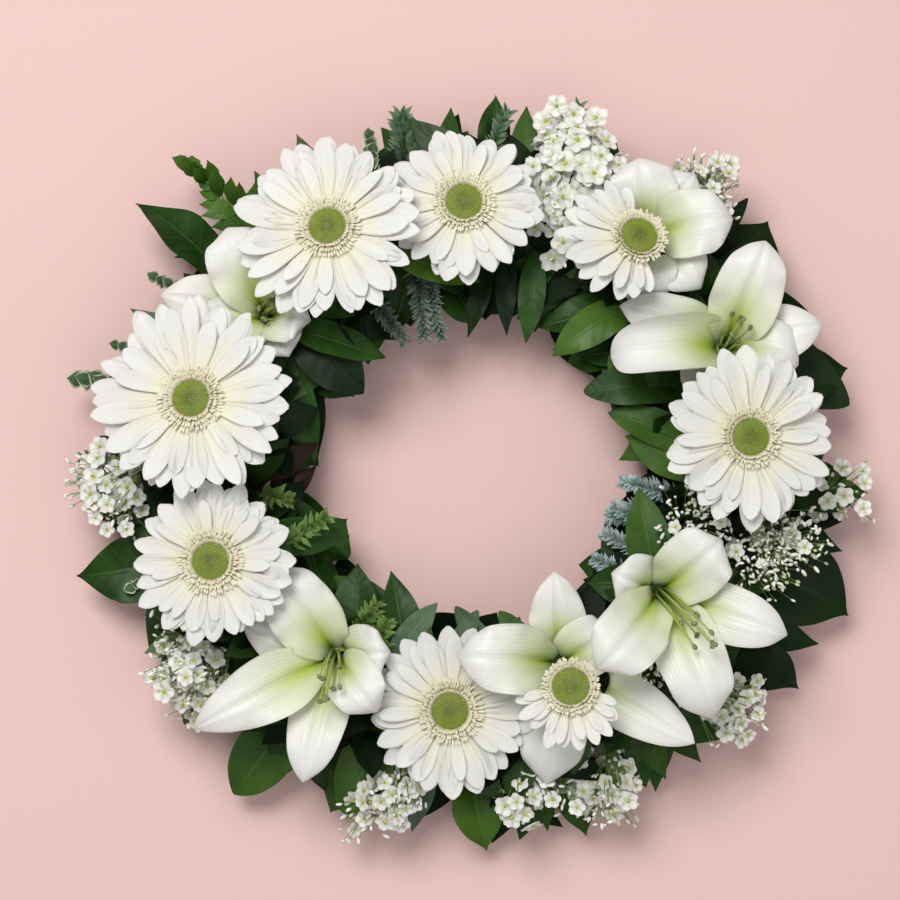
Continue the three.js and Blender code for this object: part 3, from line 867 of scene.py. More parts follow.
@dataclass
class Gerbera:
    """One gerbera: its rows of ray petals, its heart and its stem."""

    number: int
    rows: tuple
    window: tuple = (0.0, 360.0)  # middle and half width, in degrees, of the side with full petals
    fringe: float = 1.0  # how far the florets spread, as a share of the usual spread
    root_radius: float = 9.0
    usual_reach: float = 50.0  # reach at which the petals have their full breadth
    heart_radius: float = 10.4
    heart_top: float = 6.6  # the solid's top above the plane of its petals
    bud_count: int = 240
    speck_count: int = 60
    bract_count: int = 22
    floret_rings: tuple = (FloretRing(72, 10.4, 13.8, 4.2, 2.6), FloretRing(76, 12.4, 17.0, 4.0, 2.2),
                           FloretRing(64, 14.4, 20.6, 3.9, 1.3))
    first_seed: int = 100
    pose: Pose = None
    rng: np.random.Generator = None

    def __post_init__(self) -> None:
        """Reads the head's place and the way that it faces from its stem."""
        stem = node_points(f"gerbera_{self.number}_stem")
        middle = stem.mean(axis=0)
        axis = np.linalg.svd(stem - middle, full_matrices=False)[2][0]
        axis = axis * np.sign(axis[2])
        height = (stem - middle) @ axis
        head = middle + axis * (height.max() - self.heart_top)
        self.pose = Pose.along(head, axis, height.max() - height.min() - self.heart_top)
        self.rng = np.random.default_rng(self.first_seed + self.number)

    def reach_at(self, angle: Array) -> Array:
        """How far the petals reach, by the corners of the solid cup.

        Args:
            angle: the angles round the head.

        Returns:
            The reach at each angle, straight from one of the cup's tips to the next. A tip is about the
            farthest corner in a quarter radian to either side.
        """
        cup = node_points(f"gerbera_{self.number}_petals") - self.pose.middle
        x, y = cup @ self.pose.across, cup @ self.pose.upward
        radius, turn = np.hypot(x, y), np.arctan2(y, x)
        farthest = np.array([radius[np.abs(apart(turn, t)) < 0.25].max() for t in turn])
        tips = radius > 0.985 * farthest
        order = np.argsort(turn[tips])
        return np.interp(apart(angle, 0.0), turn[tips][order], radius[tips][order], period=TURN)

    def ray_petals(self, row: PetalRow, first: float) -> Patch:
        """One row of petals.

        With u from root to tip and v from edge to edge, a petal goes out by its length times u, its
        breadth grows to full by the middle and rounds off at the tip with two small notches, it climbs by
        slope times u and curls by u squared, and its edges stand up a little, with two shallow pleats
        between them.

        Args:
            row: the row's sizes.
            first: the angle of its first petal.

        Returns:
            The row's petals.
        """
        rng, count = self.rng, row.count
        angle = first + TURN * (np.arange(count) + rng.uniform(-0.28, 0.28, count)) / count
        reach = self.reach_at(angle) * row.reach
        length = reach * rng.uniform(0.90, 1.06, count) - self.root_radius
        fuller = np.clip(reach / self.usual_reach, 0.6, 1.05)
        breadth = row.breadth * fuller * rng.uniform(0.84, 1.10, count)
        inside = np.abs(apart(angle, math.radians(self.window[0]))) < math.radians(self.window[1])
        angle, length, breadth, count = angle[inside], length[inside], breadth[inside], int(inside.sum())
        slope = row.slope + rng.normal(0.0, 0.030, count)
        curl = row.curl + np.clip(rng.normal(0.0, 0.05, count), -0.09, 0.06)
        bend = rng.normal(0.0, 0.035, count)
        twist = rng.normal(0.0, 0.14, count)
        u = 1.0 - (1.0 - np.linspace(0.0, 1.0, 14)[None, :, None]) ** PETAL_CROWD
        v = np.linspace(-1.0, 1.0, 7)[None, None, :]
        angle, length, breadth, slope, curl, bend, twist = (
            value[:, None, None] for value in (angle, length, breadth, slope, curl, bend, twist))
        rounded = np.sqrt(1.0 - 0.975 * np.clip((u - 0.64) / 0.36, 0.0, 1.0) ** 2.1)
        wide = breadth / 2.0 * (0.34 + 0.66 * eased(u, -0.05, 0.70)) * rounded
        notch = 0.5 - 0.5 * np.cos(3.0 * math.pi * v)
        out = self.root_radius + length * (u - (0.014 * notch + 0.01 * v ** 2) * u ** 6)
        side = wide * v + bend * length * u ** 2
        channel = rng.uniform(0.06, 0.34, count)[:, None, None]
        pleat = 0.38 * np.cos(3.0 * math.pi * v) * np.sin(math.pi * np.clip(u * 1.05, 0.0, 1.0)) ** 0.7
        rise = (row.lift + length * (slope * u + curl * u ** 2) + channel * wide * v ** 2
                + pleat + twist * side * u)
        half = 0.26 * (1.0 - 0.55 * u) * (1.0 - 0.3 * v ** 2)
        return blades(self.pose.place(out, side, rise, angle), half, rng.uniform(0.0, 1.0, count))

    def petals(self) -> None:
        """All the rows of ray petals, as one piece."""
        shell = Shell(f"gerbera_{self.number}_ray_petals", "petal")
        for index, row in enumerate(self.rows):
            shell.add(self.ray_petals(row, 0.37 * index + self.number), PETAL)
        shell.write(f"gerbera_{self.number}_petals")

    def dome(self, radius: Array) -> Array:
        """Height of the heart at a radius: a low dome with a dimple in its middle."""
        share = radius / self.heart_radius
        dimple = 0.7 * np.exp(-(share * 3.2) ** 2)
        return 3.6 + 2.6 * np.sqrt(np.clip(1.0 - 0.9 * share ** 2, 0.0, 1.0)) - dimple

    def heart_buds(self) -> Patch:
        """The heart's closed buds, each turned on by the golden angle.

        Returns:
            The buds, with their share of the heart's radius for a tone.
        """
        order = np.arange(self.bud_count)
        radius = self.heart_radius * np.sqrt((order + 0.5) / self.bud_count)
        angle = order * GOLDEN_ANGLE
        share = radius / self.heart_radius
        middle = self.pose.place(radius, np.zeros(self.bud_count), self.dome(radius), angle)
        lean = self.pose.facing + 0.5 * share[:, None] * self.pose.spoke(angle)
        return beads(middle, 0.46 + 0.20 * share, lean, 1.3, 5, share)

    def spread_out(self, radius: float) -> float:
        """A radius outside the heart, drawn in for a head whose florets spread less."""
        return self.heart_radius + (radius - self.heart_radius) * self.fringe

    def florets(self, ring: FloretRing) -> Patch:
        """A ring of florets that stand up round the heart.

        With u from root to tip, a floret climbs by the sine of a quarter turn times u, and its edges
        stand up a little.

        Args:
            ring: the ring's sizes.

        Returns:
            The ring's florets.
        """
        rng, count = self.rng, ring.count
        start, end = self.spread_out(ring.start), self.spread_out(ring.end)
        angle = (TURN * (np.arange(count) + rng.uniform(-0.35, 0.35, count)) / count)[:, None, None]
        length = ((end - start) * rng.uniform(0.7, 1.1, count))[:, None, None]
        u = np.linspace(0.0, 1.0, 5)[None, :, None]
        v = np.linspace(-1.0, 1.0, 3)[None, None, :]
        tall = rng.uniform(0.7, 1.25, count)[:, None, None]
        wide = 0.68 * (0.75 + 0.5 * u) * np.sqrt(1.0 - 0.95 * np.clip((u - 0.7) / 0.3, 0, 1) ** 2)
        side = wide * v + rng.normal(0.0, 0.35, count)[:, None, None] * u
        rise = ring.lift + ring.climb * tall * np.sin(u * math.pi / 2.0) + 0.25 * v ** 2
        middle = self.pose.place(start + length * u, side, rise, angle)
        return blades(middle, 0.14, rng.uniform(0, 1, count))

    def specks(self) -> Patch:
        """Dark pollen strewn at random among the florets.

        Returns:
            The grains.
        """
        rng, count = self.rng, self.speck_count
        radius = rng.uniform(self.heart_radius + 0.8, self.heart_radius + 8.6, count)
        angle = rng.uniform(0.0, TURN, count)
        middle = self.pose.place(radius, np.zeros(count), rng.uniform(5.4, 6.9, count), angle)
        facing = np.tile(self.pose.facing, (count, 1))
        return beads(middle, rng.uniform(0.22, 0.36, count), facing, 1.3, 4)

    def bracts(self) -> Patch:
        """Green scales on the calyx, out and up by powers of u from root to tip.

        Returns:
            The scales, as broad as a sine of u.
        """
        count = self.bract_count
        angle = (TURN * np.arange(count) / count)[:, None, None]
        u = np.linspace(0.0, 1.0, 6)[None, :, None]
        v = np.linspace(-1.0, 1.0, 3)[None, None, :]
        side = 1.5 * np.sin(math.pi * (0.25 + 0.70 * u)) * v
        rise = -12.2 + 9.0 * u ** 1.6 - 0.3 * v ** 2
        middle = self.pose.place(5.5 + 9.5 * u ** 0.8, side, rise, angle)
        return blades(middle, 0.3, np.full(count, 0.5))

    def stem(self) -> None:
        """Heart, floret rings, calyx and stem, as one piece."""
        pose = self.pose
        shell = Shell(f"gerbera_{self.number}_heart_and_stem", "heart")
        bed = [(8.4, -2.0), (9.0, 1.0), (self.spread_out(16.5), 3.4), (self.spread_out(15.5), 4.2),
               (11.0, 4.3), (9.6, 4.9), (6.5, 5.4), (2.0, 5.3)]
        shell.add(turned(pose, bed, 40), HEART_BED)
        shell.add(self.heart_buds(), HEART)
        for ring in self.floret_rings:
            shell.add(self.florets(ring), FLORET)
        shell.add(self.specks(), SPECK)
        cut = -pose.stem
        stalk = [(2.3, cut), (2.6, cut + 1.0), (2.4, cut * 0.55), (2.7, -17.0), (3.6, -14.0)]
        calyx = [(6.2, -11.6), (9.8, -8.2), (12.2, -4.8), (12.9, -2.2), (12.6, -0.7), (9.5, -0.5)]
        shell.add(turned(pose, stalk + calyx, 20), STALK)
        shell.add(self.bracts(), STALK)
        shell.write(f"gerbera_{self.number}_stem")


# ---- lilies

SHORT_PISTIL = (0.0, 0.0, 16.0)  # how far the end of a pistil without stamens stands off the throat


@dataclass
class Lily:
    """One lily: six tepals round a throat, with its pistil, stamens and stem."""

    number: int
    stamens: tuple | None = None  # how far the pistil's end stands off the throat, in x, y and z
    scrolled: float | None = None  # the angle, in degrees, of a tepal that stays rolled up
    pointed: tuple = ()  # the angles, in degrees, of the tepals that end in a long point
    recurve: tuple = (3.0, 12.0)  # least and most that a tip turns down past the solid's tip
    boss_height: float = 9.0  # from the solid's foot up to the throat
    least_reach: float = 25.5  # how far from the axis a tip is at least
    inner_breadth: float = 37.0  # greatest breadth of the inner three tepals
    outer_breadth: float = 31.0  # greatest breadth of the outer three
    long_point: float = 1.7  # power that narrows a long-pointed tepal
    stamen_count: int = 6
    first_seed: int = 200
    pose: Pose = None
    rng: np.random.Generator = None

    def __post_init__(self) -> None:
        """Reads the axis from the stem's cut end and the foot of the tepals."""
        stem = node_points(f"lily_{self.number}_stem")
        cup = node_points(f"lily_{self.number}_tepals")
        cut = stem[stem[:, 2] < stem[:, 2].min() + 1.0].mean(axis=0)
        foot = cup[cup[:, 2] < cup[:, 2].min() + 1.2].mean(axis=0)
        axis = unit(foot - cut)
        throat = foot + axis * self.boss_height
        self.pose = Pose.along(throat, axis, float((throat - cut) @ axis))
        self.rng = np.random.default_rng(self.first_seed + self.number)

    def overshadowed(self, places: Array, degrees: float) -> Array:
        """Which places have a farther one in nearly the same direction.

        Args:
            places: (n, 3).
            degrees: how far apart two such directions may be.

        Returns:
            (n,) true or false.
        """
        out = places - self.pose.middle
        reach, angle = np.hypot(out[:, 0], out[:, 1]), np.arctan2(out[:, 1], out[:, 0])
        beside = np.abs(apart(angle[:, None], angle[None])) < math.radians(degrees)
        return (beside & (reach[None] > reach[:, None])).any(axis=1)

    def tips(self) -> Array:
        """The tips of the six tepals.

        A tip is where four corners of the solid lie close together, far from the axis; of two such places
        in nearly the same direction only the farther is a tip.

        Returns:
            The tips, in order round the axis.
        """
        cup = node_points(f"lily_{self.number}_tepals")
        radial = np.linalg.norm(self.pose.flat(cup - self.pose.middle), axis=1)
        far = cup[radial > self.least_reach - 1.5]
        near = np.linalg.norm(far[:, None] - far[None], axis=2) < 1.5
        crowded = far[near.sum(axis=1) >= 4]
        found: list = []
        for point in crowded:
            if all(np.linalg.norm(point - other) > 6.0 for other in found):
                cluster = far[np.linalg.norm(far - point, axis=1) < 1.6]
                found.append(cluster.mean(axis=0))
        place = np.array(found)
        off = place - self.pose.middle
        reach, angle = np.hypot(off[:, 0], off[:, 1]), np.arctan2(off[:, 1], off[:, 0])
        kept = (reach > self.least_reach) & ~self.overshadowed(place, 6.0)
        return place[kept][np.argsort(angle[kept])]

    def broadest(self, tip: Array) -> float:
        """The full breadth of the solid's tepal, from its middle part.

        Args:
            tip: where the tepal ends.

        Returns:
            The breadth.
        """
        cup = node_points(f"lily_{self.number}_tepals") - self.pose.middle
        out = tip - self.pose.middle
        spoke = unit(self.pose.flat(out))
        reach = out @ spoke
        along, aside = cup @ spoke, np.abs(cup @ np.cross(self.pose.facing, spoke))
        band = (along > 0.45 * reach) & (along < 0.85 * reach) & (aside < np.minimum(0.6 * reach, 24.0))
        return float(np.clip(2.0 * aside[band].max(), 18.0, 42.0)) if band.any() else 26.0

    def tepal_path(self, tip: Array, broad: bool, level: float) -> list:
        """The midrib's control points: up out of the throat, over, and back down at the tip.

        Args:
            tip: where the tepal ends.
            broad: whether it is one of the inner three, which start nearer the axis.
            level: the tips' mean height over the throat; the inner three arch over it and the outer three
                stay under it, so that they never pass through one another.

        Returns:
            Four points.
        """
        pose = self.pose
        out = tip - pose.middle
        rise = float(out @ pose.facing)
        spoke = unit(pose.flat(out))
        reach = float(out @ spoke)
        outside = 0.0 if broad else 3.0
        root = pose.middle + (3.8 + outside) * spoke - (3.0 + outside) * pose.facing
        arch = max(rise, min(level, rise + 9.0)) if broad else min(rise, level)
        low = pose.middle + (0.14 * reach + outside) * spoke + (0.60 * arch - outside) * pose.facing
        high = pose.middle + 0.80 * reach * spoke + (1.56 * arch - 1.6 * outside) * pose.facing
        return [root, low, high, tip - self.rng.uniform(*self.recurve) * pose.facing]

    def heads_for(self, spoke: Array, degrees: float) -> bool:
        """Whether a spoke points within 15 degrees of an angle round the wreath's axis."""
        return abs(apart(math.atan2(spoke[1], spoke[0]), math.radians(degrees))) < math.radians(15.0)

    def tepal(self, tip: Array, breadth: float, broad: bool, level: float) -> Patch:
        """One tepal on its curved path.

        With t from throat to tip and v from edge to edge, the half breadth grows by a quarter sine and
        then falls by a power of t down to the tip. The blade is folded up along its midrib and opens out
        as t grows, or stays rolled on an arc. Its edges ripple by two sines of t and roll back near the
        tip, and a groove with a ridge on either side follows the midrib.

        Args:
            tip: where it ends.
            breadth: its full breadth.
            broad: whether it is one of the three broad inner tepals.
            level: the tips' mean height over the throat.

        Returns:
            The tepal.
        """
        rng, rows, columns = self.rng, 30, 17
        path = bezier(self.tepal_path(tip, broad, level), rows)[0]
        ahead = unit(np.gradient(path, axis=0))
        spoke = unit(self.pose.flat(tip - self.pose.middle))
        side = unit(np.cross(self.pose.facing, spoke))[None, :]
        normal = unit(np.cross(ahead, side))
        t = np.linspace(0.0, 1.0, rows)[:, None]
        v = np.linspace(-1.0, 1.0, columns)[None, :]
        peak = rng.uniform(0.42, 0.52) if broad else rng.uniform(0.38, 0.46)
        point = rng.uniform(2.6, 3.9) if broad else rng.uniform(2.0, 3.0)
        if any(self.heads_for(spoke, degrees) for degrees in self.pointed):
            point = self.long_point
        grown = np.sin(math.pi / 2.0 * np.clip(t / peak, 0.0, 1.0)) ** 1.35
        swell = grown - np.clip((t - peak) / (1.0 - peak), 0.0, 1.0) ** point
        half = breadth / 2.0 * (0.24 * (1.0 - t) ** 2 + swell) + 0.3
        if self.scrolled is not None and self.heads_for(spoke, self.scrolled):
            half = 1.35 * half
            bow = 0.3 + math.radians(76.0) * np.sin(math.pi * np.clip(t * 0.9, 0.0, 1.0)) ** 0.5
            lateral = half * np.sin(bow * v) / bow
            climb = half * (1.0 - np.cos(bow * v)) / bow + 4.0 * np.sin(math.pi * t)
        else:
            fold = np.radians(34.0 - 30.0 * eased(t, 0.10, 0.60))
            lateral = half * v * np.cos(fold) * 1.04
            climb = half * np.sin(fold) * np.abs(v) ** 1.3
        phase = rng.uniform(0.0, TURN, 4)
        hand = np.where(v < 0.0, phase[0], phase[1])
        ruffle = np.sin(rng.uniform(1.7, 2.6) * TURN * t + hand)
        ruffle = ruffle + 0.5 * np.sin(rng.uniform(3.6, 5.2) * TURN * t + 2.0 * hand)
        ruffle = (0.060 if broad else 0.045) * breadth * ruffle * np.abs(v) ** 2.6 * np.sin(math.pi * t)
        curl = -0.34 * half * eased(t, 0.40, 1.0) * np.abs(v) ** 2.2
        groove = -1.0 * np.exp(-(v / 0.10) ** 2) * np.sin(math.pi * t) ** 0.5
        ridge = 0.9 * np.exp(-((np.abs(v) - 0.24) / 0.12) ** 2) * np.sin(math.pi * t)
        height = climb + ruffle + curl + groove + ridge
        middle = path[:, None] + lateral[..., None] * side[:, None] + height[..., None] * normal[:, None]
        thick = 0.42 * (1.0 - 0.45 * np.abs(v)) * (1.0 - 0.5 * t)
        return blades(middle[None, :, ::-1], -thick[None, :, ::-1], rng.uniform(0.0, 1.0, 1))

    def tepals(self) -> None:
        """All six tepals and the boss that they grow from, as one piece."""
        shell = Shell(f"lily_{self.number}_flower", "tepal")
        tips = self.tips()
        out = tips - self.pose.middle
        rises = out @ self.pose.facing
        crowded = self.overshadowed(tips, 26.0)
        first = int(np.argmax(rises)) % 2
        for index, tip in enumerate(tips):
            broad = index % 2 == first and not crowded[index]
            breadth = min(0.92 * self.broadest(tip), self.inner_breadth if broad else self.outer_breadth)
            tip = tip - (0.3 * out[index] if crowded[index] else 0.0)
            shell.add(self.tepal(tip, breadth, broad, float(rises.mean())), TEPAL)
        boss = [(2.6, -9.0), (5.0, -8.8), (7.2, -4.0), (6.8, -2.0), (4.0, -1.0)]
        shell.add(turned(self.pose, boss, 20), FILAMENT)
        shell.write(f"lily_{self.number}_tepals")

    def stem(self) -> None:
        """Stem, ovary and pistil, with the stamens and their knobs, as one piece."""
        pose, rng = self.pose, self.rng
        shell = Shell(f"lily_{self.number}_heart_and_stem", "pistil")
        foot = -pose.stem
        body = [(2.2, foot), (2.5, foot + 1.0), (2.3, foot * 0.5), (2.5, -9.0), (2.5, 2.0), (2.2, 5.0)]
        shell.add(turned(pose, body, 14), STALK)
        aim = np.array(self.stamens or SHORT_PISTIL, dtype=float)
        tall = aim[2]
        tip = pose.middle + aim
        root = pose.middle + 3.0 * pose.facing
        knee = root + 0.6 * tall * pose.facing
        pistil = bezier([root, knee, tip + 3.0 * unit(tip - knee)], 10)
        shell.add(tapered(pistil, 1.35, 0.95, 9), FILAMENT)
        lobes = pistil[:, -1] + 1.2 * pose.spoke(np.arange(3) * TURN / 3.0)
        onward = np.tile(pistil[0, -1] - pistil[0, -3], (3, 1))
        shell.add(beads(lobes, np.full(3, 1.6), onward, 0.9, 8), KNOB)
        if self.stamens:
            count = self.stamen_count
            fan = pose.spoke(np.arange(count) * TURN / count + rng.uniform(-0.2, 0.2, count))
            share = np.where(np.arange(count) % 2 == 0, 0.86, 0.62)[:, None]
            ends = root + share * (tip - root) + fan * rng.uniform(5.0, 9.0, count)[:, None]
            starts = root + 2.6 * fan
            bends = starts + 0.55 * share * tall * pose.facing + 1.5 * fan
            shell.add(tapered(bezier([starts, bends, ends], 9), 1.05, 0.42, 6), FILAMENT)
            lie = unit(np.cross(fan, pose.facing) + rng.normal(0.0, 0.35, (count, 3)))
            shell.add(beads(ends, np.full(count, 1.5), lie, 1.35, 8), KNOB)
        shell.write(f"lily_{self.number}_stem")


# ---- leaves

TIP_CROWD = 1.5  # power that crowds the rows of a leaf blade towards its tip


@dataclass(frozen=True)
class LeafShape:
    """The outline and pose of a leaf blade."""

    breadth: float
    arch: float  # how far the midrib rises over the straight line
    widest: float  # power of the share along: under one is widest near the root
    fold: float  # how far the edges stand over the midrib, by half breadth
    wave: float  # millimetres of ripple at the edges
    blunt: float = 1.0  # below one gives a rounder tip


@dataclass(frozen=True)
class Accent:
    """One listed leaf: the angle and radius of its tip, its size and its finish."""

    degrees: float
    reach: float
    height: float
    breadth: float
    finish: Finish
    swing: float  # degrees from its foot to its tip
    point: float = 1.0  # below one for a rounder outline


@dataclass(frozen=True)
class Leaflets:
    """How leaflets are set along a stalk."""

    places: int  # how many places along the stalk carry leaflets
    length: float  # of the lowest ones
    breadth: float  # of the lowest ones
    start: float  # share along the stalk of the lowest place
    whorl: int = 2  # how many leaflets at a place
    columns: int = 5  # points across a leaflet
    spread: float = 0.9  # angle from the stalk, in radians
    taper: float = 0.4  # how much smaller the last ones are
    rise: float = 0.25  # how far they lift, as a share of their length


@dataclass(frozen=True)
class Sprig:
    """One kind of sprig: its material slot, its two finishes and its leaflets."""

    slot: str
    stalk: Finish
    leaf: Finish
    leaflets: Leaflets


@dataclass
class Foliage:
    """Leaves, sprigs and the way that they are laid."""

    rng: np.random.Generator
    inner_feet: float = 134.0  # radius of the feet of single leaves that point inward
    outer_feet: float = 158.0  # radius of the feet of single leaves that point outward
    lowest_foot: float = 34.0  # least height of such a foot
    twig_foot: float = 36.0  # height where the extra sprigs leave the foam
    skirt_foot: float = 44.0  # height of the feet of the leaves round a stem
    skirt_tip: float = 52.0  # least height of their tips
    stalk_length: float = 19.0  # bare stalk of a large packed leaf

    def blade(self, roots: Array, tips: Array, shape: LeafShape, rows: int, columns: int,
              droop: float = 0.0) -> Patch:
        """Leaf blades from roots to tips.

        The midrib is a quadratic curve that arches over the straight line and sways a little to one side,
        the half breadth is a sine of the share along raised to a power, the edges stand over the midrib
        as in a shallow gutter, and they ripple by a sine that grows outward.

        Args:
            roots: (k, 3) where the blades start.
            tips: (k, 3) where they end.
            shape: their outline.
            rows: points along a blade.
            columns: points across a blade.
            droop: how far the tips bend down at the end, as a share of their length.

        Returns:
            The k blades.
        """
        rng, count = self.rng, len(roots)
        middle = (roots + tips) / 2.0 + np.array([0.0, 0.0, 2.0 * shape.arch])
        sway = unit(np.cross(tips - roots, UP)) * rng.normal(0.0, 0.05, (count, 1))
        length = np.linalg.norm(tips - roots, axis=1, keepdims=True)
        path = bezier([roots, middle + sway * length, tips], rows, TIP_CROWD)
        t = 1.0 - (1.0 - np.linspace(0.0, 1.0, rows)) ** TIP_CROWD
        path = path - (droop * length * t ** 3)[..., None] * UP
        ahead = unit(np.gradient(path, axis=1))
        roll = rng.normal(0.0, 0.22, (count, 1, 1))
        side = unit(np.cross(ahead, UP))
        normal = unit(np.cross(side, ahead))
        side, normal = (side * np.cos(roll) + normal * np.sin(roll),
                        normal * np.cos(roll) - side * np.sin(roll))
        t = t[None, :, None]
        v = np.linspace(-1.0, 1.0, columns)[None, None, :]
        swell = np.clip(np.sin(math.pi * np.clip(t, 1e-4, 1.0) ** shape.widest), 1e-6, 1.0)
        half = shape.breadth / 2.0 * swell ** (shape.blunt * (0.8 + 0.8 * t * t)) + 0.25
        half = half * rng.uniform(0.9, 1.08, (count, 1, 1))
        lift = shape.fold * half * np.abs(v) * (1.0 - 0.4 * t)
        phase = rng.uniform(0.0, TURN, (count, 1, 1)) + np.where(v < 0.0, 0.0, 2.0)
        ripple = shape.wave * np.sin(2.3 * TURN * t + phase) * v ** 2 * np.sin(math.pi * t)
        surface = path[:, :, None] + ((half * v)[..., None] * side[:, :, None]
                                      + (lift + ripple)[..., None] * normal[:, :, None])
        thick = 0.32 * (1.0 - 0.5 * np.abs(v))
        return blades(surface, -thick, rng.uniform(0.0, 1.0, count))

    def spine(self, node: str, inward: bool) -> tuple:
        """Measures a packed leaf or sprig.

        Args:
            node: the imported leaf.
            inward: whether it points at the wreath's middle.

        Returns:
            The stalk's inner end, the place where the blade starts, the tip, and the blade's full
            breadth.
        """
        points = node_points(node)
        radius = np.hypot(points[:, 0], points[:, 1])
        order = np.argsort(radius if inward else -radius)
        tip = points[order[:3]].mean(axis=0)
        inner = points[order[-3:]].mean(axis=0)
        ahead = unit(tip - inner)
        along = (points - inner) @ ahead
        beside = np.abs((points - inner) @ unit(np.cross(ahead, UP)))
        start = inner + ahead * self.stalk_length + UP
        band = along > self.stalk_length + 3.0
        return inner, start, tip, float(2.0 * np.percentile(beside[band], 97))

    def packed_leaf(self, node: str, finish: Finish, inward: bool, blunt: float = 1.0) -> None:
        """One leaf that stands where a packed leaf stands.

        Args:
            node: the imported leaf.
            finish: its finish.
            inward: whether it points at the wreath's middle.
            blunt: below one gives a rounder tip.
        """
        inner, start, tip, breadth = self.spine(node, inward)
        shell = Shell(f"{node}_blade", "leaf")
        shape = LeafShape(breadth, 7.0, 0.85, 0.28, 1.4, blunt)
        shell.add(self.blade(start[None], tip[None], shape, 26, 13), finish)
        stalk_end = start + 0.18 * (tip - start) + UP * 2.0
        shell.add(tapered(bezier([inner, (inner + start) / 2.0, stalk_end], 6), 1.2, 0.8, 7), STALK)
        shell.write(node)

    def collar(self, name: str, count: int, root_radius: float, tip_radius: float, heights: tuple,
               breadth: float, finishes: tuple, reach_spread: float, turn: float) -> None:
        """A ring of plain leaves that closes the gaps between the larger ones.

        Args:
            name: the piece's name.
            count: how many leaves.
            root_radius: radius where they start.
            tip_radius: radius where they end.
            heights: height of the roots and of the tips.
            breadth: full breadth of a leaf.
            finishes: the finishes that they share out.
            reach_spread: spread of the tip radius, as a share of it.
            turn: how far a leaf may swing to either side, in radians.
        """
        rng = self.rng
        shell = Shell(name, "leaf")
        angle = TURN * (np.arange(count) + rng.uniform(-0.4, 0.4, count)) / count
        share = np.arange(count) % len(finishes)
        rng.shuffle(share)
        for index, finish in enumerate(finishes):
            some = angle[share == index]
            k = len(some)
            rise = rng.normal(0.0, 4.0, k)
            roots = ring_point(some, root_radius, heights[0] + rise)
            swing = some + rng.uniform(-turn, turn, k) * abs(tip_radius - root_radius) / tip_radius
            reach = tip_radius * (1.0 + rng.uniform(-reach_spread, reach_spread * 0.5, k))
            tips = ring_point(swing, reach, heights[1] + rise + rng.normal(0.0, 2.5, k))
            shape = LeafShape(breadth, 5.0, rng.uniform(0.80, 1.0), 0.2, 0.7, 0.62)
            shell.add(self.blade(roots, tips, shape, 15, 7), finish)
        shell.write()

    def canopy(self, name: str, count: int, radii: tuple, height: tuple, length: tuple,
               breadth: tuple, finishes: tuple) -> None:
        """Leaves that stand up out of the foam's top and lean any way, to hide it.

        Args:
            name: the piece's name.
            count: how many leaves.
            radii: least and greatest radius of their roots.
            height: height of their roots and the greatest height of their tips.
            length: least and greatest length.
            breadth: least and greatest breadth.
            finishes: the finishes that they share out.
        """
        rng = self.rng
        shell = Shell(name, "leaf")
        for finish in finishes:
            k = count // len(finishes)
            angle = rng.uniform(0.0, TURN, k)
            roots = ring_point(angle, rng.uniform(*radii, k), height[0])
            lean = rng.uniform(0.0, TURN, k)
            reach = rng.uniform(*length, k)
            steep = rng.uniform(0.15, 0.85, k)
            tips = roots + ring_point(lean, reach * (1.0 - steep ** 2), reach * steep)
            tips[:, 2] = np.clip(tips[:, 2], height[0] + 4.0, height[1])
            far = np.hypot(tips[:, 0], tips[:, 1])
            keep = np.clip(far, radii[0] - 12.0, radii[1] + 24.0) / far
            tips[:, :2] *= keep[:, None]
            shape = LeafShape(float(rng.uniform(*breadth)), 3.0, 0.9, 0.25, 0.7, 0.62)
            shell.add(self.blade(roots, tips, shape, 12, 7), finish)
        shell.write()

    def skirts(self, name: str, poses: list, leaves: int, gap: float, finishes: tuple) -> None:
        """Leaves that stand close round the flowers' stems and lean out under the heads.

        Args:
            name: the piece's name.
            poses: the flowers' heads.
            leaves: how many leaves round a stem.
            gap: how far below the head they end.
            finishes: the finishes that they take in turn.
        """
        rng = self.rng
        shell = Shell(name, "leaf")
        for index, pose in enumerate(poses):
            angle = TURN * (np.arange(leaves) + rng.uniform(-0.3, 0.3, leaves)) / leaves
            out = ring_point(angle, 1.0, 0.0)
            foot = pose.middle - pose.facing * (pose.middle[2] - self.skirt_foot) / pose.facing[2]
            top = pose.middle[2] - gap - rng.uniform(0.0, 14.0, leaves)
            roots = foot + 5.0 * out
            tips = roots + rng.uniform(20.0, 32.0, leaves)[:, None] * out
            tips[:, 2] = np.maximum(top, self.skirt_tip)
            shape = LeafShape(float(rng.uniform(16.0, 21.0)), 5.0, 0.9, 0.25, 0.7, 0.62)
            shell.add(self.blade(roots, tips, shape, 12, 7, 0.12), finishes[index % len(finishes)])
        shell.write()

    def accents(self, name: str, leaves: tuple, inward: bool = False) -> None:
        """Single leaves set one by one between the larger ones.

        Args:
            name: the piece's name.
            leaves: the leaves, each as the values of an Accent.
            inward: whether they point at the wreath's middle.
        """
        shell = Shell(name, "leaf")
        radius = self.inner_feet if inward else self.outer_feet
        for leaf in (Accent(*row) for row in leaves):
            start = math.radians(leaf.degrees - leaf.swing)
            root = ring_point(np.array([start]), radius, max(self.lowest_foot, leaf.height))
            tip = ring_point(np.radians([leaf.degrees]), leaf.reach, leaf.height)
            widest = 0.85 if leaf.point < 1.0 else 0.95
            shape = LeafShape(leaf.breadth, 5.0, widest, 0.24, 0.9, 0.7 * leaf.point)
            shell.add(self.blade(root, tip, shape, 18, 9), leaf.finish)
        shell.write()

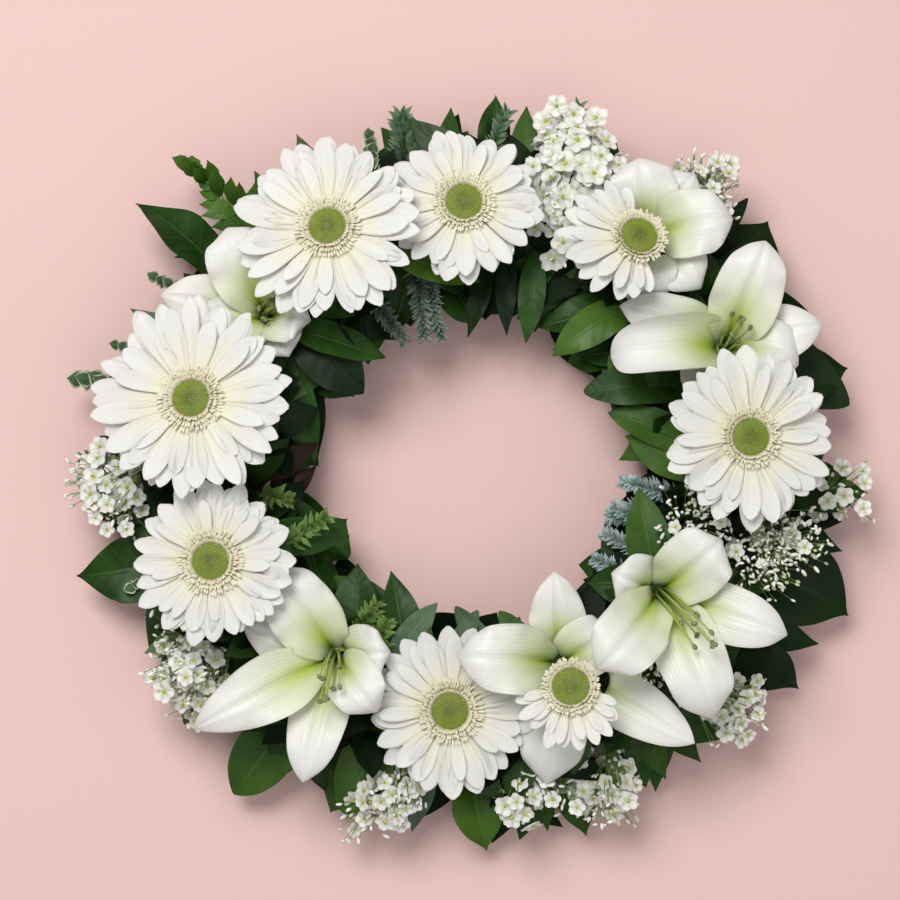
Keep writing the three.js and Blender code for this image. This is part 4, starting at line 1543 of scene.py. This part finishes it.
    def twigs(self, name: str, kind: Sprig, places: tuple, foot: float) -> None:
        """Extra sprigs round the ring, all of one kind, as one piece.

        Args:
            name: the piece's name.
            kind: what they are.
            places: (degrees, radius, height) of each tip.
            foot: radius where the stalks leave the foam.
        """
        shell = Shell(name, kind.slot)
        for degrees, radius, height in places:
            swing = math.radians(degrees + self.rng.uniform(-6.0, 6.0))
            start = ring_point(np.array([swing]), foot, self.twig_foot)
            tip = ring_point(np.radians([degrees]), radius, height)
            bow = 8.0 + 0.25 * abs(height - self.twig_foot)
            path = bezier([start, start + 0.5 * (tip - start) + UP * bow, tip], 14)
            shell.add(tapered(path, 1.0, 0.4, 6), kind.stalk)
            shell.add(self.leaflets(path[0], kind.leaflets), kind.leaf)
        shell.write()

    def leaflets(self, path: Array, kind: Leaflets) -> Patch:
        """Leaflets set along a stalk.

        At each place a whorl of them stands off the stalk at an angle, turned on from the last whorl, and
        they get smaller towards the stalk's end.

        Args:
            path: (n, 3) the stalk's points.
            kind: their number, sizes and angles.

        Returns:
            All the leaflets.
        """
        rng = self.rng
        share = np.linspace(kind.start, 0.99, kind.places)
        index = share * (len(path) - 1)

        def at_places(values: Array) -> Array:
            """Values along the stalk, read off at the places."""
            return np.stack([np.interp(index, np.arange(len(path)), row) for row in values.T], axis=1)

        ahead = unit(at_places(unit(np.gradient(path, axis=0))))
        across = unit(np.cross(ahead, UP))
        over = np.cross(across, ahead)
        twist = 0.25 if kind.whorl == 2 else 1.0
        turn = (np.arange(kind.whorl) * TURN / kind.whorl)[None] + (np.arange(kind.places) * twist)[:, None]
        turn = turn + rng.normal(0.0, 0.15, turn.shape)
        out = np.cos(turn)[..., None] * across[:, None] + np.sin(turn)[..., None] * over[:, None]
        angle = kind.spread * rng.uniform(0.8, 1.15, turn.shape)[..., None]
        lesser = (1.0 - kind.taper * (share - kind.start) / (1.0 - kind.start))[:, None, None]
        size = kind.length * lesser * rng.uniform(0.85, 1.1, turn.shape)[..., None]
        step = size * (np.cos(angle) * ahead[:, None] + np.sin(angle) * out + kind.rise * UP)
        roots = np.repeat(at_places(path), kind.whorl, axis=0)
        shape = LeafShape(kind.breadth, 0.06 * kind.length, 0.9, 0.15, 0.02 * kind.length)
        return self.blade(roots, roots + step.reshape(-1, 3), shape, 7, kind.columns)

    def sprig(self, node: str, name: str, kind: Sprig, inward: bool) -> None:
        """One sprig that stands where a packed sprig stands.

        Args:
            node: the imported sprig.
            name: the piece's name.
            kind: what it is.
            inward: whether it points at the wreath's middle.
        """
        inner, start, tip, _ = self.spine(node, inward)
        tip = tip - unit(tip - start) * kind.leaflets.length * 0.55
        path = bezier([inner, start + 0.5 * (tip - start) + UP * 6.0, tip], 16)
        shell = Shell(name, kind.slot)
        shell.add(tapered(path, 1.2, 0.5, 7), kind.stalk)
        shell.add(self.leaflets(path[0], kind.leaflets), kind.leaf)
        shell.write(node)


# ---- filler flowers

@dataclass(frozen=True)
class Puffs:
    """The mix of tiny white puffs and green buds on a sprig."""

    white: float  # share of them that are white puffs
    radius: tuple  # least and greatest
    loose: float  # how far the puffs lean any way
    tall: float  # half height of a puff, as a share of its radius
    bud: float  # radius of a bud, as a share of a puff's


SPRIG_PUFFS = Puffs(0.72, (0.8, 1.5), 0.8, 1.7, 0.9)
DRIFT_PUFFS = Puffs(0.8, (0.7, 1.3), 1.0, 2.0, 1.0)


@dataclass
class Filler:
    """Sprigs of small white five-petalled flowers, buds and tiny puffs."""

    rng: np.random.Generator
    petals: int = 5
    lowest: float = 20.0  # least height of a sprig's puffs
    drift_foot: float = 38.0  # height where the stalks of a loose group start

    def scattered(self, points: Array, count: int) -> Array:
        """Points chosen one by one, each the farthest from those before it.

        Args:
            points: what to choose from.
            count: how many to choose.

        Returns:
            The chosen points.
        """
        chosen = [int(np.argmax(points[:, 2]))]
        distance = np.linalg.norm(points - points[chosen[0]], axis=1)
        for _ in range(count - 1):
            chosen.append(int(np.argmax(distance)))
            distance = np.minimum(distance, np.linalg.norm(points - points[chosen[-1]], axis=1))
        return points[chosen]

    def blossoms(self, at: Array, facing: Array, radius: Array) -> tuple:
        """Five-petalled flowers and their centres.

        With u from the middle out and v from edge to edge, a petal's breadth is a sine of a power of u,
        and it cups up by a power of u and turns back at its end.

        Args:
            at: (k, 3) the middles.
            facing: (k, 3) the ways they face.
            radius: (k,) their sizes.

        Returns:
            The petals' patch and the centres' patch.
        """
        rng, count, each = self.rng, len(at), self.petals
        facing = unit(facing)
        helper = np.where(np.abs(facing[:, :1]) > 0.8, np.eye(3)[1], np.eye(3)[0])
        across = unit(np.cross(helper, facing))
        upward = np.cross(facing, across)
        angle = (np.arange(each) * TURN / each)[None, :] + rng.uniform(0.0, TURN, (count, 1))
        spoke = np.cos(angle)[..., None] * across[:, None] + np.sin(angle)[..., None] * upward[:, None]
        beside = np.cos(angle)[..., None] * upward[:, None] - np.sin(angle)[..., None] * across[:, None]
        u = np.linspace(0.0, 1.0, 5)[None, :, None, None]
        v = np.linspace(-1.0, 1.0, 4)[None, None, :, None]
        size = np.repeat(radius, each)[:, None, None, None]
        spoke, beside = spoke.reshape(-1, 1, 1, 3), beside.reshape(-1, 1, 1, 3)
        face = np.repeat(facing, each, axis=0)[:, None, None, :]
        foot = np.repeat(at, each, axis=0)[:, None, None, :]
        cup = rng.uniform(0.10, 0.45, (count * each, 1, 1, 1))
        wide = size * 0.52 * np.sin(math.pi * (0.10 + 0.80 * u ** 0.75)) ** 0.8
        surface = foot + size * (0.10 + 0.90 * u) * spoke + wide * v * beside
        surface = surface + size * (cup * u ** 1.5 - 0.35 * cup * u ** 4 + 0.10 * v ** 2) * face
        petals = blades(surface, 0.22, np.repeat(rng.uniform(0.0, 1.0, count), each))
        centres = beads(at + facing * (0.12 * radius)[:, None], 0.17 * radius, facing, 0.9, 6)
        return petals, centres

    def strew(self, shell: Shell, at: Array, lean: Array, kind: Puffs) -> None:
        """Adds tiny puffs and buds to a piece.

        Args:
            shell: the piece.
            at: (k, 3) their places.
            lean: (k, 3) the ways that their stalks lead, each of length one.
            kind: their mix and sizes.
        """
        rng = self.rng
        white = rng.uniform(0.0, 1.0, len(at)) < kind.white
        size = rng.uniform(*kind.radius, len(at))
        any_way = unit(lean + rng.normal(0.0, kind.loose, lean.shape))
        shell.add(beads(at[white], size[white], any_way[white], kind.tall, 5), PUFF)
        shell.add(beads(at[~white], size[~white] * kind.bud, lean[~white], 1.5, 5), BUD)

    def sprig(self, node: str, name: str, flowers: int, puffs: int, size: float) -> None:
        """One branched sprig that stands where a packed sprig stands.

        Args:
            node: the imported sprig.
            name: the piece's name.
            flowers: how many five-petalled flowers.
            puffs: how many tiny puffs and buds.
            size: radius of the flowers.
        """
        rng = self.rng
        points = node_points(node)
        root = points[np.argmin(points[:, 2])]
        head = points[points[:, 2] > np.percentile(points[:, 2], 25)]
        head = head[np.linalg.norm(head - root, axis=1) > 20.0]
        middle = head.mean(axis=0)
        fork = root + 0.55 * (middle - root)
        near = head[rng.integers(0, len(head), 6 * flowers)] + rng.normal(0.0, 2.6, (6 * flowers, 3))
        at = self.scattered(near, flowers)
        facing = unit(at - middle) * 0.75 + UP + rng.normal(0.0, 0.3, at.shape)
        petals, centres = self.blossoms(at, facing, size * rng.uniform(0.78, 1.15, flowers))
        spread = head[rng.integers(0, len(head), puffs)] + rng.normal(0.0, 4.2, (puffs, 3))
        spread[:, 2] = np.maximum(spread[:, 2], self.lowest)
        shell = Shell(name, "filler")
        shell.add(petals, BLOSSOM)
        shell.add(centres, CORE)
        lean = unit(spread - fork)
        self.strew(shell, spread, lean, SPRIG_PUFFS)
        ends = np.concatenate([at - unit(facing) * 1.2, spread - lean * 0.8])
        starts = np.tile(fork, (len(ends), 1))
        knees = (starts + ends) / 2.0 + UP * 3.0 + rng.normal(0.0, 2.0, ends.shape)
        shell.add(tapered(bezier([starts, knees, ends], 4), 0.55, 0.25, 4), STALK)
        shell.add(tapered(bezier([root, (root + fork) / 2.0, fork], 4), 1.1, 1.1, 6), STALK)
        shell.write(node)

    def drift(self, name: str, middles: tuple, flowers: int, puffs: int, spread: tuple,
              size: float) -> None:
        """Loose groups of the same small flowers between the large ones.

        Args:
            name: the piece's name.
            middles: (angle in degrees, radius, height) of each group.
            flowers: five-petalled flowers in a group.
            puffs: tiny puffs and buds in a group.
            spread: how far they scatter, sideways and up.
            size: radius of the flowers.
        """
        rng = self.rng
        shell = Shell(name, "filler")
        for degrees, radius, height in middles:
            middle = ring_point(np.radians(degrees), radius, height)
            wide = np.array([spread[0], spread[0], spread[1]])
            loose = np.clip(rng.normal(0.0, 1.0, (4 * flowers, 3)), -1.5, 1.5)
            at = self.scattered(middle + loose * wide, flowers)
            bits = middle + np.clip(rng.normal(0.0, 1.0, (puffs, 3)), -1.8, 1.8) * wide * 1.15
            root = middle * np.array([1.0, 1.0, 0.0]) * 0.97 + UP * self.drift_foot
            facing = UP + rng.normal(0.0, 0.42, at.shape)
            petals, centres = self.blossoms(at, facing, size * rng.uniform(0.8, 1.15, flowers))
            shell.add(petals, BLOSSOM)
            shell.add(centres, CORE)
            self.strew(shell, bits, unit(bits - root), DRIFT_PUFFS)
            ends = np.concatenate([at, bits])
            starts = np.tile(root, (len(ends), 1))
            knees = (starts + ends) / 2.0 + rng.normal(0.0, 2.0, ends.shape)
            shell.add(rods(bezier([starts, knees, ends], 3), np.array([[0.45, 0.32, 0.22]]), 3), STALK)
        shell.write()


# ---- ring and tray

@dataclass
class Base:
    """The foam ring and the tray that it sits in."""

    segments: int = 128
    wall: float = 2.0  # the tray's thickness
    flare: float = 2.4  # how far its walls lean out from floor to rim
    shoulder: float = 30.0  # height where the foam starts to round off

    def revolved(self, profile: list, ripple: float = 0.0) -> Patch:
        """A closed ring surface.

        Each profile point is turned round the wreath's axis; ripple moves it in and out by a sum of sines
        of the angle.

        Args:
            profile: (radius, height) pairs of a closed outline.
            ripple: how far each of the sines moves it.

        Returns:
            The ring.
        """
        radius, height = np.array(profile).T[..., None]
        angle = (np.arange(self.segments) * TURN / self.segments)[None, :]
        wobble = ripple * (np.sin(5.0 * angle + height) + np.sin(11.0 * angle + 0.3 * radius))
        points = ring_point(angle, radius + wobble, height + 0.6 * wobble * (height > 10.0))
        rows, columns = len(profile), self.segments
        ring = np.arange(rows * columns).reshape(rows, columns)
        after = np.roll(ring, -1, axis=0)
        turned_on = np.roll(ring, -1, axis=1)
        both = np.roll(after, -1, axis=1)
        faces = np.stack([ring, turned_on, both, after], axis=-1).reshape(-1, 4)
        count = rows * columns
        share = np.repeat(np.arange(rows) / rows, columns)
        around = np.tile(angle.ravel() / TURN, rows)
        return Patch(points.reshape(-1, 3), faces, share, around, np.full(count, 0.5), np.zeros(count))

    def measured(self, node: str) -> tuple:
        """The inner and outer radius of a packed ring, and its lowest and highest height."""
        (_, _, low), (outer, _, high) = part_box(node)
        inner = float(np.min(np.hypot(*node_points(node)[:, :2].T)))
        return inner, outer * MM, low * MM, high * MM

    def tray(self) -> None:
        """The tray: a shallow channel with leaning walls and a rolled rim."""
        inner, outer, low, high = self.measured("ring_tray")
        rim = ((1.4, 0.6), (0.3, high - 2.5), (0.0, high - 1.2), (0.3, high - 0.2), (1.0, high),
               (1.8, high - 0.6), (self.flare + self.wall, self.wall))
        profile = [(inner + self.flare, low), (outer - self.flare, low)]
        profile += [(outer - inset, height) for inset, height in rim]
        profile += [(inner + inset, height) for inset, height in reversed(rim)]
        shell = Shell("ring_tray_moulding", "tray")
        shell.add(self.revolved(profile), TRAY)
        shell.write("ring_tray")

    def foam(self) -> None:
        """The foam ring: a block with rounded shoulders, whose top is an arc from side to side."""
        inner, outer, low, high = self.measured("foam_ring")
        middle, half, rise = (outer + inner) / 2.0, (outer - inner) / 2.0, high - self.shoulder
        dome = [(middle + half * math.cos(turn), self.shoulder + rise * max(math.sin(turn), 0.0) ** 0.8)
                for turn in np.linspace(0.0, math.pi, 14)]
        profile = [(inner + 0.5, low), (outer - 0.5, low), (outer, 8.0), (outer, 20.0), *dome,
                   (inner, 20.0), (inner, 8.0)]
        shell = Shell("foam_ring_block", "foam")
        shell.add(self.revolved(profile, 0.35), FOAM)
        shell.write("foam_ring")


# ---- camera and light

class Lamp(Enum):
    """Area lamps: place (metres from the wreath's middle), size (metres) and power (watts)."""

    KEY = ((-0.45, 0.70, 1.80), 1.0, 28.5)
    FILL = ((0.9, -0.5, 1.5), 1.6, 4.0)
    FRONT = ((0.0, -0.7, 1.8), 1.2, 5.0)


@dataclass(frozen=True)
class Studio:
    """The camera that looks down on the wreath, the floor, and soft light."""

    target: tuple = (-0.012, 0.0084, 0.045)
    distance: float = 1.5
    elevation: float = 84.0  # degrees above level, from the bottom of the wreath
    lens: float = 100.0
    sensor: float = 36.0
    floor_reach: float = 6.0  # from the floor's middle to its edges
    floor_colour: tuple = (0.80, 0.56, 0.54)
    lamp_colour: tuple = (1.0, 0.975, 0.94)
    world_colour: tuple = (1.0, 0.98, 0.97, 1.0)
    world_strength: float = 0.26

    def camera(self) -> None:
        """Places the camera."""
        tilt = math.radians(self.elevation)
        away = np.array([0.0, -math.cos(tilt), math.sin(tilt)])
        data = bpy.data.cameras.new("camera")
        data.lens = self.lens
        data.sensor_width = self.sensor
        made = bpy.data.objects.new("camera", data)
        made.location = np.array(self.target) + away * self.distance
        made.rotation_euler = (math.pi / 2.0 - tilt, 0.0, 0.0)
        bpy.context.scene.collection.objects.link(made)
        bpy.context.scene.camera = made

    def floor(self) -> None:
        """A plain pale floor that the wreath lies on."""
        mesh = bpy.data.meshes.new("floor")
        corners = self.floor_reach * np.array([(-1, -1, 0), (1, -1, 0), (1, 1, 0), (-1, 1, 0)])
        mesh.from_pydata(corners.tolist(), [], [(0, 1, 2, 3)])
        shader = Shader("floor_paper")
        mesh.materials.append(shader.finish(self.floor_colour, 0.9))
        floor = bpy.data.objects.new("floor", mesh)
        bpy.context.scene.collection.objects.link(floor)
        floor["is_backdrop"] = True

    def lights(self) -> None:
        """Large soft lamps aimed at the wreath, and an even pale world."""
        for lamp in Lamp:
            place, size, power = lamp.value
            data = bpy.data.lights.new(lamp.name.lower(), "AREA")
            data.shape = "DISK"
            data.size = size
            data.energy = power
            data.color = self.lamp_colour
            made = bpy.data.objects.new(lamp.name.lower(), data)
            made.location = place
            aim = unit(np.array(self.target) - np.array(place))
            made.rotation_euler = (math.acos(-aim[2]), 0.0, math.atan2(aim[1], aim[0]) - math.pi / 2.0)
            bpy.context.scene.collection.objects.link(made)
        world = bpy.data.worlds.new("world")
        world.use_nodes = True
        back = world.node_tree.nodes["Background"]
        back.inputs["Color"].default_value = self.world_colour
        back.inputs["Strength"].default_value = self.world_strength
        bpy.context.scene.world = world
        bpy.context.scene.view_settings.view_transform = "Standard"


# ---- the whole wreath

# Rows of ray petals, for a whole gerbera and for one that sits half on a lily.
FULL_HEAD = (PetalRow(22, 1.0, 14.0, 0.0, 0.05, -0.02), PetalRow(21, 0.95, 13.0, 1.1, 0.08, -0.02),
             PetalRow(8, 0.80, 11.0, 2.3, 0.11, 0.0))
HALF_HEAD = (PetalRow(22, 1.0, 12.0, 0.0, 0.05, -0.03), PetalRow(17, 0.90, 11.0, 1.2, 0.08, -0.03))

# Gerberas by number: the side with full petals, and how far the florets spread.
OPEN_SIDES = {6: (-95.0, 80.0), 8: (-175.0, 100.0)}
FRINGES = {2: 0.85, 6: 0.68, 7: 0.82, 8: 0.70}

# Lilies by number: the rolled tepal, the long-pointed tepals, and where the pistil ends.
SCROLLED = {2: -172.0}
LONG_POINTS = {3: (-152.0,)}
LILY_STAMENS = {1: (6, 2, 24), 2: (6, 10, 34), 3: (-4, -24, 42), 4: (26, -30, 42)}

# Packed outer leaves by number: finishes that are not plain dark, and tips rounder than 0.85.
OUTER_LEAVES = {2: OLIVE_LEAF, 4: NEAR_BLACK_SHADE_LEAF, 5: NEAR_BLACK_SHADE_LEAF, 7: NEAR_BLACK_SHADE_LEAF, 8: NEAR_BLACK_SHADE_LEAF, 10: BRIGHT_LEAF,
                11: MID_LEAF, 12: MID_LEAF}
BLUNT_LEAVES = {12: 0.45}

# Single leaves, as the values of an Accent.
OUTER_ACCENTS = (
    (201, 228, 26, 26, GREY_LEAF, 4, 0.6), (210, 226, 30, 22, GREY_LEAF, -5),
    (222, 232, 20, 30, MID_LEAF, 3, 0.6), (253, 224, 22, 24, MID_LEAF, -4),
    (38, 228, 44, 26, NEAR_BLACK_SHADE_LEAF, 5, 0.7), (44, 236, 36, 22, NEAR_BLACK_SHADE_LEAF, 3, 0.7),
    (9, 232, 38, 44, NEAR_BLACK_SHADE_LEAF, -27, 0.6), (22, 226, 40, 40, NEAR_BLACK_SHADE_LEAF, -22, 0.6),
    (-13, 230, 34, 30, NEAR_BLACK_SHADE_LEAF, -4), (-27, 236, 26, 28, NEAR_BLACK_SHADE_LEAF, 4),
    (-52, 226, 20, 24, DARK_LEAF, 4), (-58, 222, 22, 22, MID_LEAF, -4),
    (250, 221, 38, 34, MID_LEAF, -2, 0.55), (-78, 224, 20, 20, DARK_LEAF, -4),
    (-99, 222, 22, 22, GREY_LEAF, 3), (100, 220, 40, 18, GREY_LEAF, 6),
    (93, 218, 46, 16, DARK_LEAF, -4), (81, 222, 44, 18, MID_LEAF, 3),
    (126, 224, 34, 20, MID_LEAF, -4), (134, 232, 30, 22, OLIVE_LEAF, 4),
    (155, 228, 32, 18, GREY_LEAF, -3), (188, 230, 28, 24, DARK_LEAF, 4),
    (238, 226, 24, 26, DARK_LEAF, 5),
)
INNER_ACCENTS = (
    (87, 107, 66, 20, BRIGHT_LEAF, -24), (80, 100, 46, 24, DARK_LEAF, 12),
    (72, 92, 44, 20, DARK_LEAF, 10), (64, 90, 38, 18, DARK_LEAF, -8),
    (28, 96, 44, 24, BRIGHT_LEAF, -10), (10, 94, 52, 22, MID_LEAF, 14),
    (2, 90, 36, 20, MID_LEAF, -10), (-9, 101, 63, 26, MID_LEAF, 26, 0.9),
    (-46, 100, 54, 24, DARK_LEAF, -12), (110, 92, 40, 18, GREY_LEAF, 10),
    (120, 88, 38, 22, DARK_LEAF, -14), (133, 92, 46, 30, NEAR_BLACK_SHADE_LEAF, 12),
    (160, 96, 50, 22, NEAR_BLACK_SHADE_LEAF, -12), (172, 92, 44, 15, WINE_LEAF, -14),
    (180, 92, 40, 16, WINE_LEAF, -16), (206, 92, 48, 26, DARK_LEAF, 14),
    (222, 90, 51, 26, DARK_LEAF, -18), (232, 92, 40, 22, MID_LEAF, 12),
    (248, 91, 54, 20, MID_LEAF, -12, 0.8), (257, 86, 57, 18, GREY_LEAF, 8, 0.8),
    (272, 98, 44, 18, GREY_LEAF, -10), (288, 96, 40, 20, DARK_LEAF, 10),
    (46, 92, 40, 22, DARK_LEAF, 12), (52, 80, 60, 23, BRIGHT_LEAF, 8, 0.8),
    (74, 80, 52, 13, NEAR_BLACK_SHADE_LEAF, -6), (65, 79, 54, 17, DARK_LEAF, -8),
    (91, 76, 50, 14, NEAR_BLACK_SHADE_LEAF, 6), (32, 80, 54, 24, DARK_LEAF, 12, 0.6),
    (20, 88, 52, 22, MID_LEAF, 16, 0.7), (147, 76, 54, 32, NEAR_BLACK_SHADE_LEAF, 8, 0.7),
    (129, 80, 60, 22, DARK_LEAF, -14, 0.8), (234, 80, 54, 22, DARK_LEAF, -20),
    (212, 84, 62, 24, DARK_LEAF, 12, 0.85), (264, 86, 50, 18, GREY_LEAF, -16, 0.6),
    (273, 88, 52, 16, GREY_LEAF, 10, 0.6), (281, 90, 50, 18, MID_LEAF, -8, 0.6),
    (-36, 92, 42, 22, DARK_LEAF, 14),
)

# Extra sprigs: piece, kind, (degrees, radius, height) of each tip, and the radius of their feet.
TWIGS = (
    ("grey_leaf_twigs", Sprig("pittosporum", TWIG, PIED_LEAF, Leaflets(8, 13.0, 7.5, 0.35)),
     ((149, 222, 34), (161, 226, 30), (166, 214, 52), (107, 206, 52), (200, 214, 34)), 160.0),
    ("needle_twigs", Sprig("rosemary", STALK, GREEN_NEEDLE, Leaflets(20, 11.0, 1.9, 0.3, 3, 3)),
     ((179, 234, 34), (84, 214, 52), (73, 226, 56), (212, 216, 30), (294, 214, 30)), 160.0),
    ("silver_twigs", Sprig("spruce", TWIG, SILVER_NEEDLE, Leaflets(30, 10.0, 1.5, 0.25, 4, 3)),
     ((-7, 92, 50), (-17, 90, 50), (-28, 91, 52), (-38, 94, 50)), 136.0),
    ("frosted_twigs", Sprig("spruce", TWIG, FROSTED_NEEDLE, Leaflets(30, 10.0, 1.5, 0.25, 4, 3)),
     ((103, 78, 50), (110, 80, 54), (118, 84, 52)), 136.0),
    ("star_twigs", Sprig("filler", STALK, STALK, Leaflets(6, 12.0, 2.6, 0.5, 5, 3)),
     ((192, 110, 66), (203, 92, 82), (237, 102, 60), (243, 108, 64), (-24, 150, 78)), 140.0),
)

# Sprigs that stand where packed ones stand: node, piece, kind, and whether they point inward.
SPRIGS = (
    ("ruscus_sprig", "ruscus_sprig_leaves",
     Sprig("ruscus", STALK, BRIGHT_LEAF, Leaflets(9, 24.0, 9.0, 0.3)), False),
    ("rosemary_sprig", "rosemary_sprig_leaves",
     Sprig("rosemary", STALK, GREEN_NEEDLE, Leaflets(22, 15.0, 2.6, 0.3, 3, 3)), False),
    ("pittosporum_sprig", "pittosporum_sprig_leaves",
     Sprig("pittosporum", TWIG, PIED_LEAF, Leaflets(8, 20.0, 11.0, 0.3)), False),
    ("spruce_twig", "spruce_twig_needles",
     Sprig("spruce", TWIG, SILVER_NEEDLE, Leaflets(44, 12.0, 1.7, 0.25, 5, 3)), True),
)

# Rings of plain leaves.
# The plain dark leaf and the near-black painted shade leaf, shared out in the rings, skirts and canopy.
DARK_AND_PAINTED_SHADE_LEAVES = (DARK_LEAF, PAINTED_SHADE_LEAF)
COLLARS = (
    ("outer_collar_leaves", 56, 160.0, 220.0, (30.0, 20.0), 27.0, (DARK_LEAF, *DARK_AND_PAINTED_SHADE_LEAVES), 0.07, 1.6),
    ("lower_collar_leaves", 44, 168.0, 202.0, (32.0, 20.0), 24.0, (DARK_LEAF, MID_LEAF), 0.06, 1.2),
    ("upper_collar_leaves", 46, 154.0, 206.0, (43.0, 42.0), 24.0, DARK_AND_PAINTED_SHADE_LEAVES, 0.07, 2.0),
    ("inner_collar_leaves", 38, 134.0, 97.0, (32.0, 18.0), 29.0, (PAINTED_SHADE_LEAF, *DARK_AND_PAINTED_SHADE_LEAVES), 0.09, 1.3),
    ("inner_upper_leaves", 36, 140.0, 101.0, (43.0, 40.0), 25.0, DARK_AND_PAINTED_SHADE_LEAVES, 0.10, 1.8),
)

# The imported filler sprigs, in order: flowers, puffs and the flowers' radius.
FILLER_HEADS = ((64, 60, 7.6), (12, 60, 5.4), (18, 60, 6.4), (26, 70, 6.2), (22, 60, 6.2), (16, 60, 6.2),
                (6, 190, 6.4), (14, 120, 6.0), (16, 70, 5.8))

# Loose filler, with (degrees, radius, height) of each group.
DRIFTS = (
    ("upper_white_flowers", ((71, 160, 72), (66, 178, 64), (72, 192, 58), (73, 206, 60), (64, 150, 68)),
     16, 22, (11.0, 5.0), 7.4),
    ("side_white_flowers",
     ((216, 208, 48), (221, 214, 38), (257, 200, 42), (254, 214, 36), (181, 216, 46), (187, 212, 44),
      (-74, 198, 40), (-66, 200, 38), (-42, 212, 44), (50, 216, 52), (-4, 224, 42)),
     12, 34, (9.0, 4.0), 5.8),
    ("misty_white_puffs",
     ((-14, 196, 66), (-20, 182, 72), (-16, 136, 74), (-47, 168, 66), (213, 200, 52), (183, 222, 40),
      (50, 219, 50), (-68, 210, 36)),
     2, 130, (10.0, 4.5), 4.6),
)
FOLIAGE_SEED = 3
FILLER_SEED = 4


def build_flowers() -> tuple[list[Pose], list[Pose]]:
    """Builds the gerberas and the lilies.

    Returns:
        Where the gerberas' heads sit, and where the lilies' do.
    """
    gerberas, lilies = [], []
    for number in range(1, 9):
        rows = HALF_HEAD if number in OPEN_SIDES else FULL_HEAD
        head = Gerbera(number, rows, OPEN_SIDES.get(number, (0.0, 360.0)), FRINGES.get(number, 1.0))
        head.petals()
        head.stem()
        gerberas.append(head.pose)
    for number in range(1, 7):
        lily = Lily(number, LILY_STAMENS.get(number), SCROLLED.get(number), LONG_POINTS.get(number, ()))
        lily.tepals()
        lily.stem()
        lilies.append(lily.pose)
    return gerberas, lilies


def build_foliage(gerberas: list[Pose], lilies: list[Pose]) -> None:
    """Builds the leaves and the sprigs.

    Args:
        gerberas: where the gerberas' heads sit.
        lilies: where the lilies sit.
    """
    foliage = Foliage(np.random.default_rng(FOLIAGE_SEED))
    for number in range(1, 14):
        foliage.packed_leaf(f"outer_leaf_{number}", OUTER_LEAVES.get(number, DARK_LEAF), False,
                            BLUNT_LEAVES.get(number, 0.85))
    for number in range(1, 5):
        foliage.packed_leaf(f"inner_leaf_{number}", DARK_LEAF, True)
    foliage.accents("outer_accent_leaves", OUTER_ACCENTS)
    foliage.accents("inner_accent_leaves", INNER_ACCENTS, True)
    for twigs in TWIGS:
        foliage.twigs(*twigs)
    for sprig in SPRIGS:
        foliage.sprig(*sprig)
    for collar in COLLARS:
        foliage.collar(*collar)
    foliage.skirts("gerbera_stem_leaves", gerberas, 7, 16.0, DARK_AND_PAINTED_SHADE_LEAVES)
    foliage.skirts("lily_stem_leaves", lilies, 5, 20.0, DARK_AND_PAINTED_SHADE_LEAVES)
    foliage.canopy("canopy_leaves", 240, (118.0, 172.0), (41.0, 64.0), (36.0, 60.0), (15.0, 21.0),
                   DARK_AND_PAINTED_SHADE_LEAVES + DARK_AND_PAINTED_SHADE_LEAVES)


def build_filler() -> None:
    """Builds the small white flowers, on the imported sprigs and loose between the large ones."""
    filler = Filler(np.random.default_rng(FILLER_SEED))
    for number, head in enumerate(FILLER_HEADS, start=1):
        filler.sprig(f"filler_sprig_{number}", f"filler_sprig_{number}_flowers", *head)
    for drift in DRIFTS:
        filler.drift(*drift)


def main() -> None:
    """Builds every piece of the wreath, in order, and the studio round it."""
    logging.basicConfig(level=logging.INFO, format="%(name)s: %(message)s")
    studio = Studio()
    studio.camera()
    studio.floor()
    studio.lights()

    build_foliage(*build_flowers())
    build_filler()
    base = Base()
    base.tray()
    base.foam()

    sizes = {"cad": [list(map(float, corner)) for corner in CAD_BOX],
             "finished": [list(map(float, corner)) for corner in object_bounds()]}
    for name, corners in sizes.items():
        LOG.info("%s box: %s", name, corners)


if __name__ == "__main__":
    main()
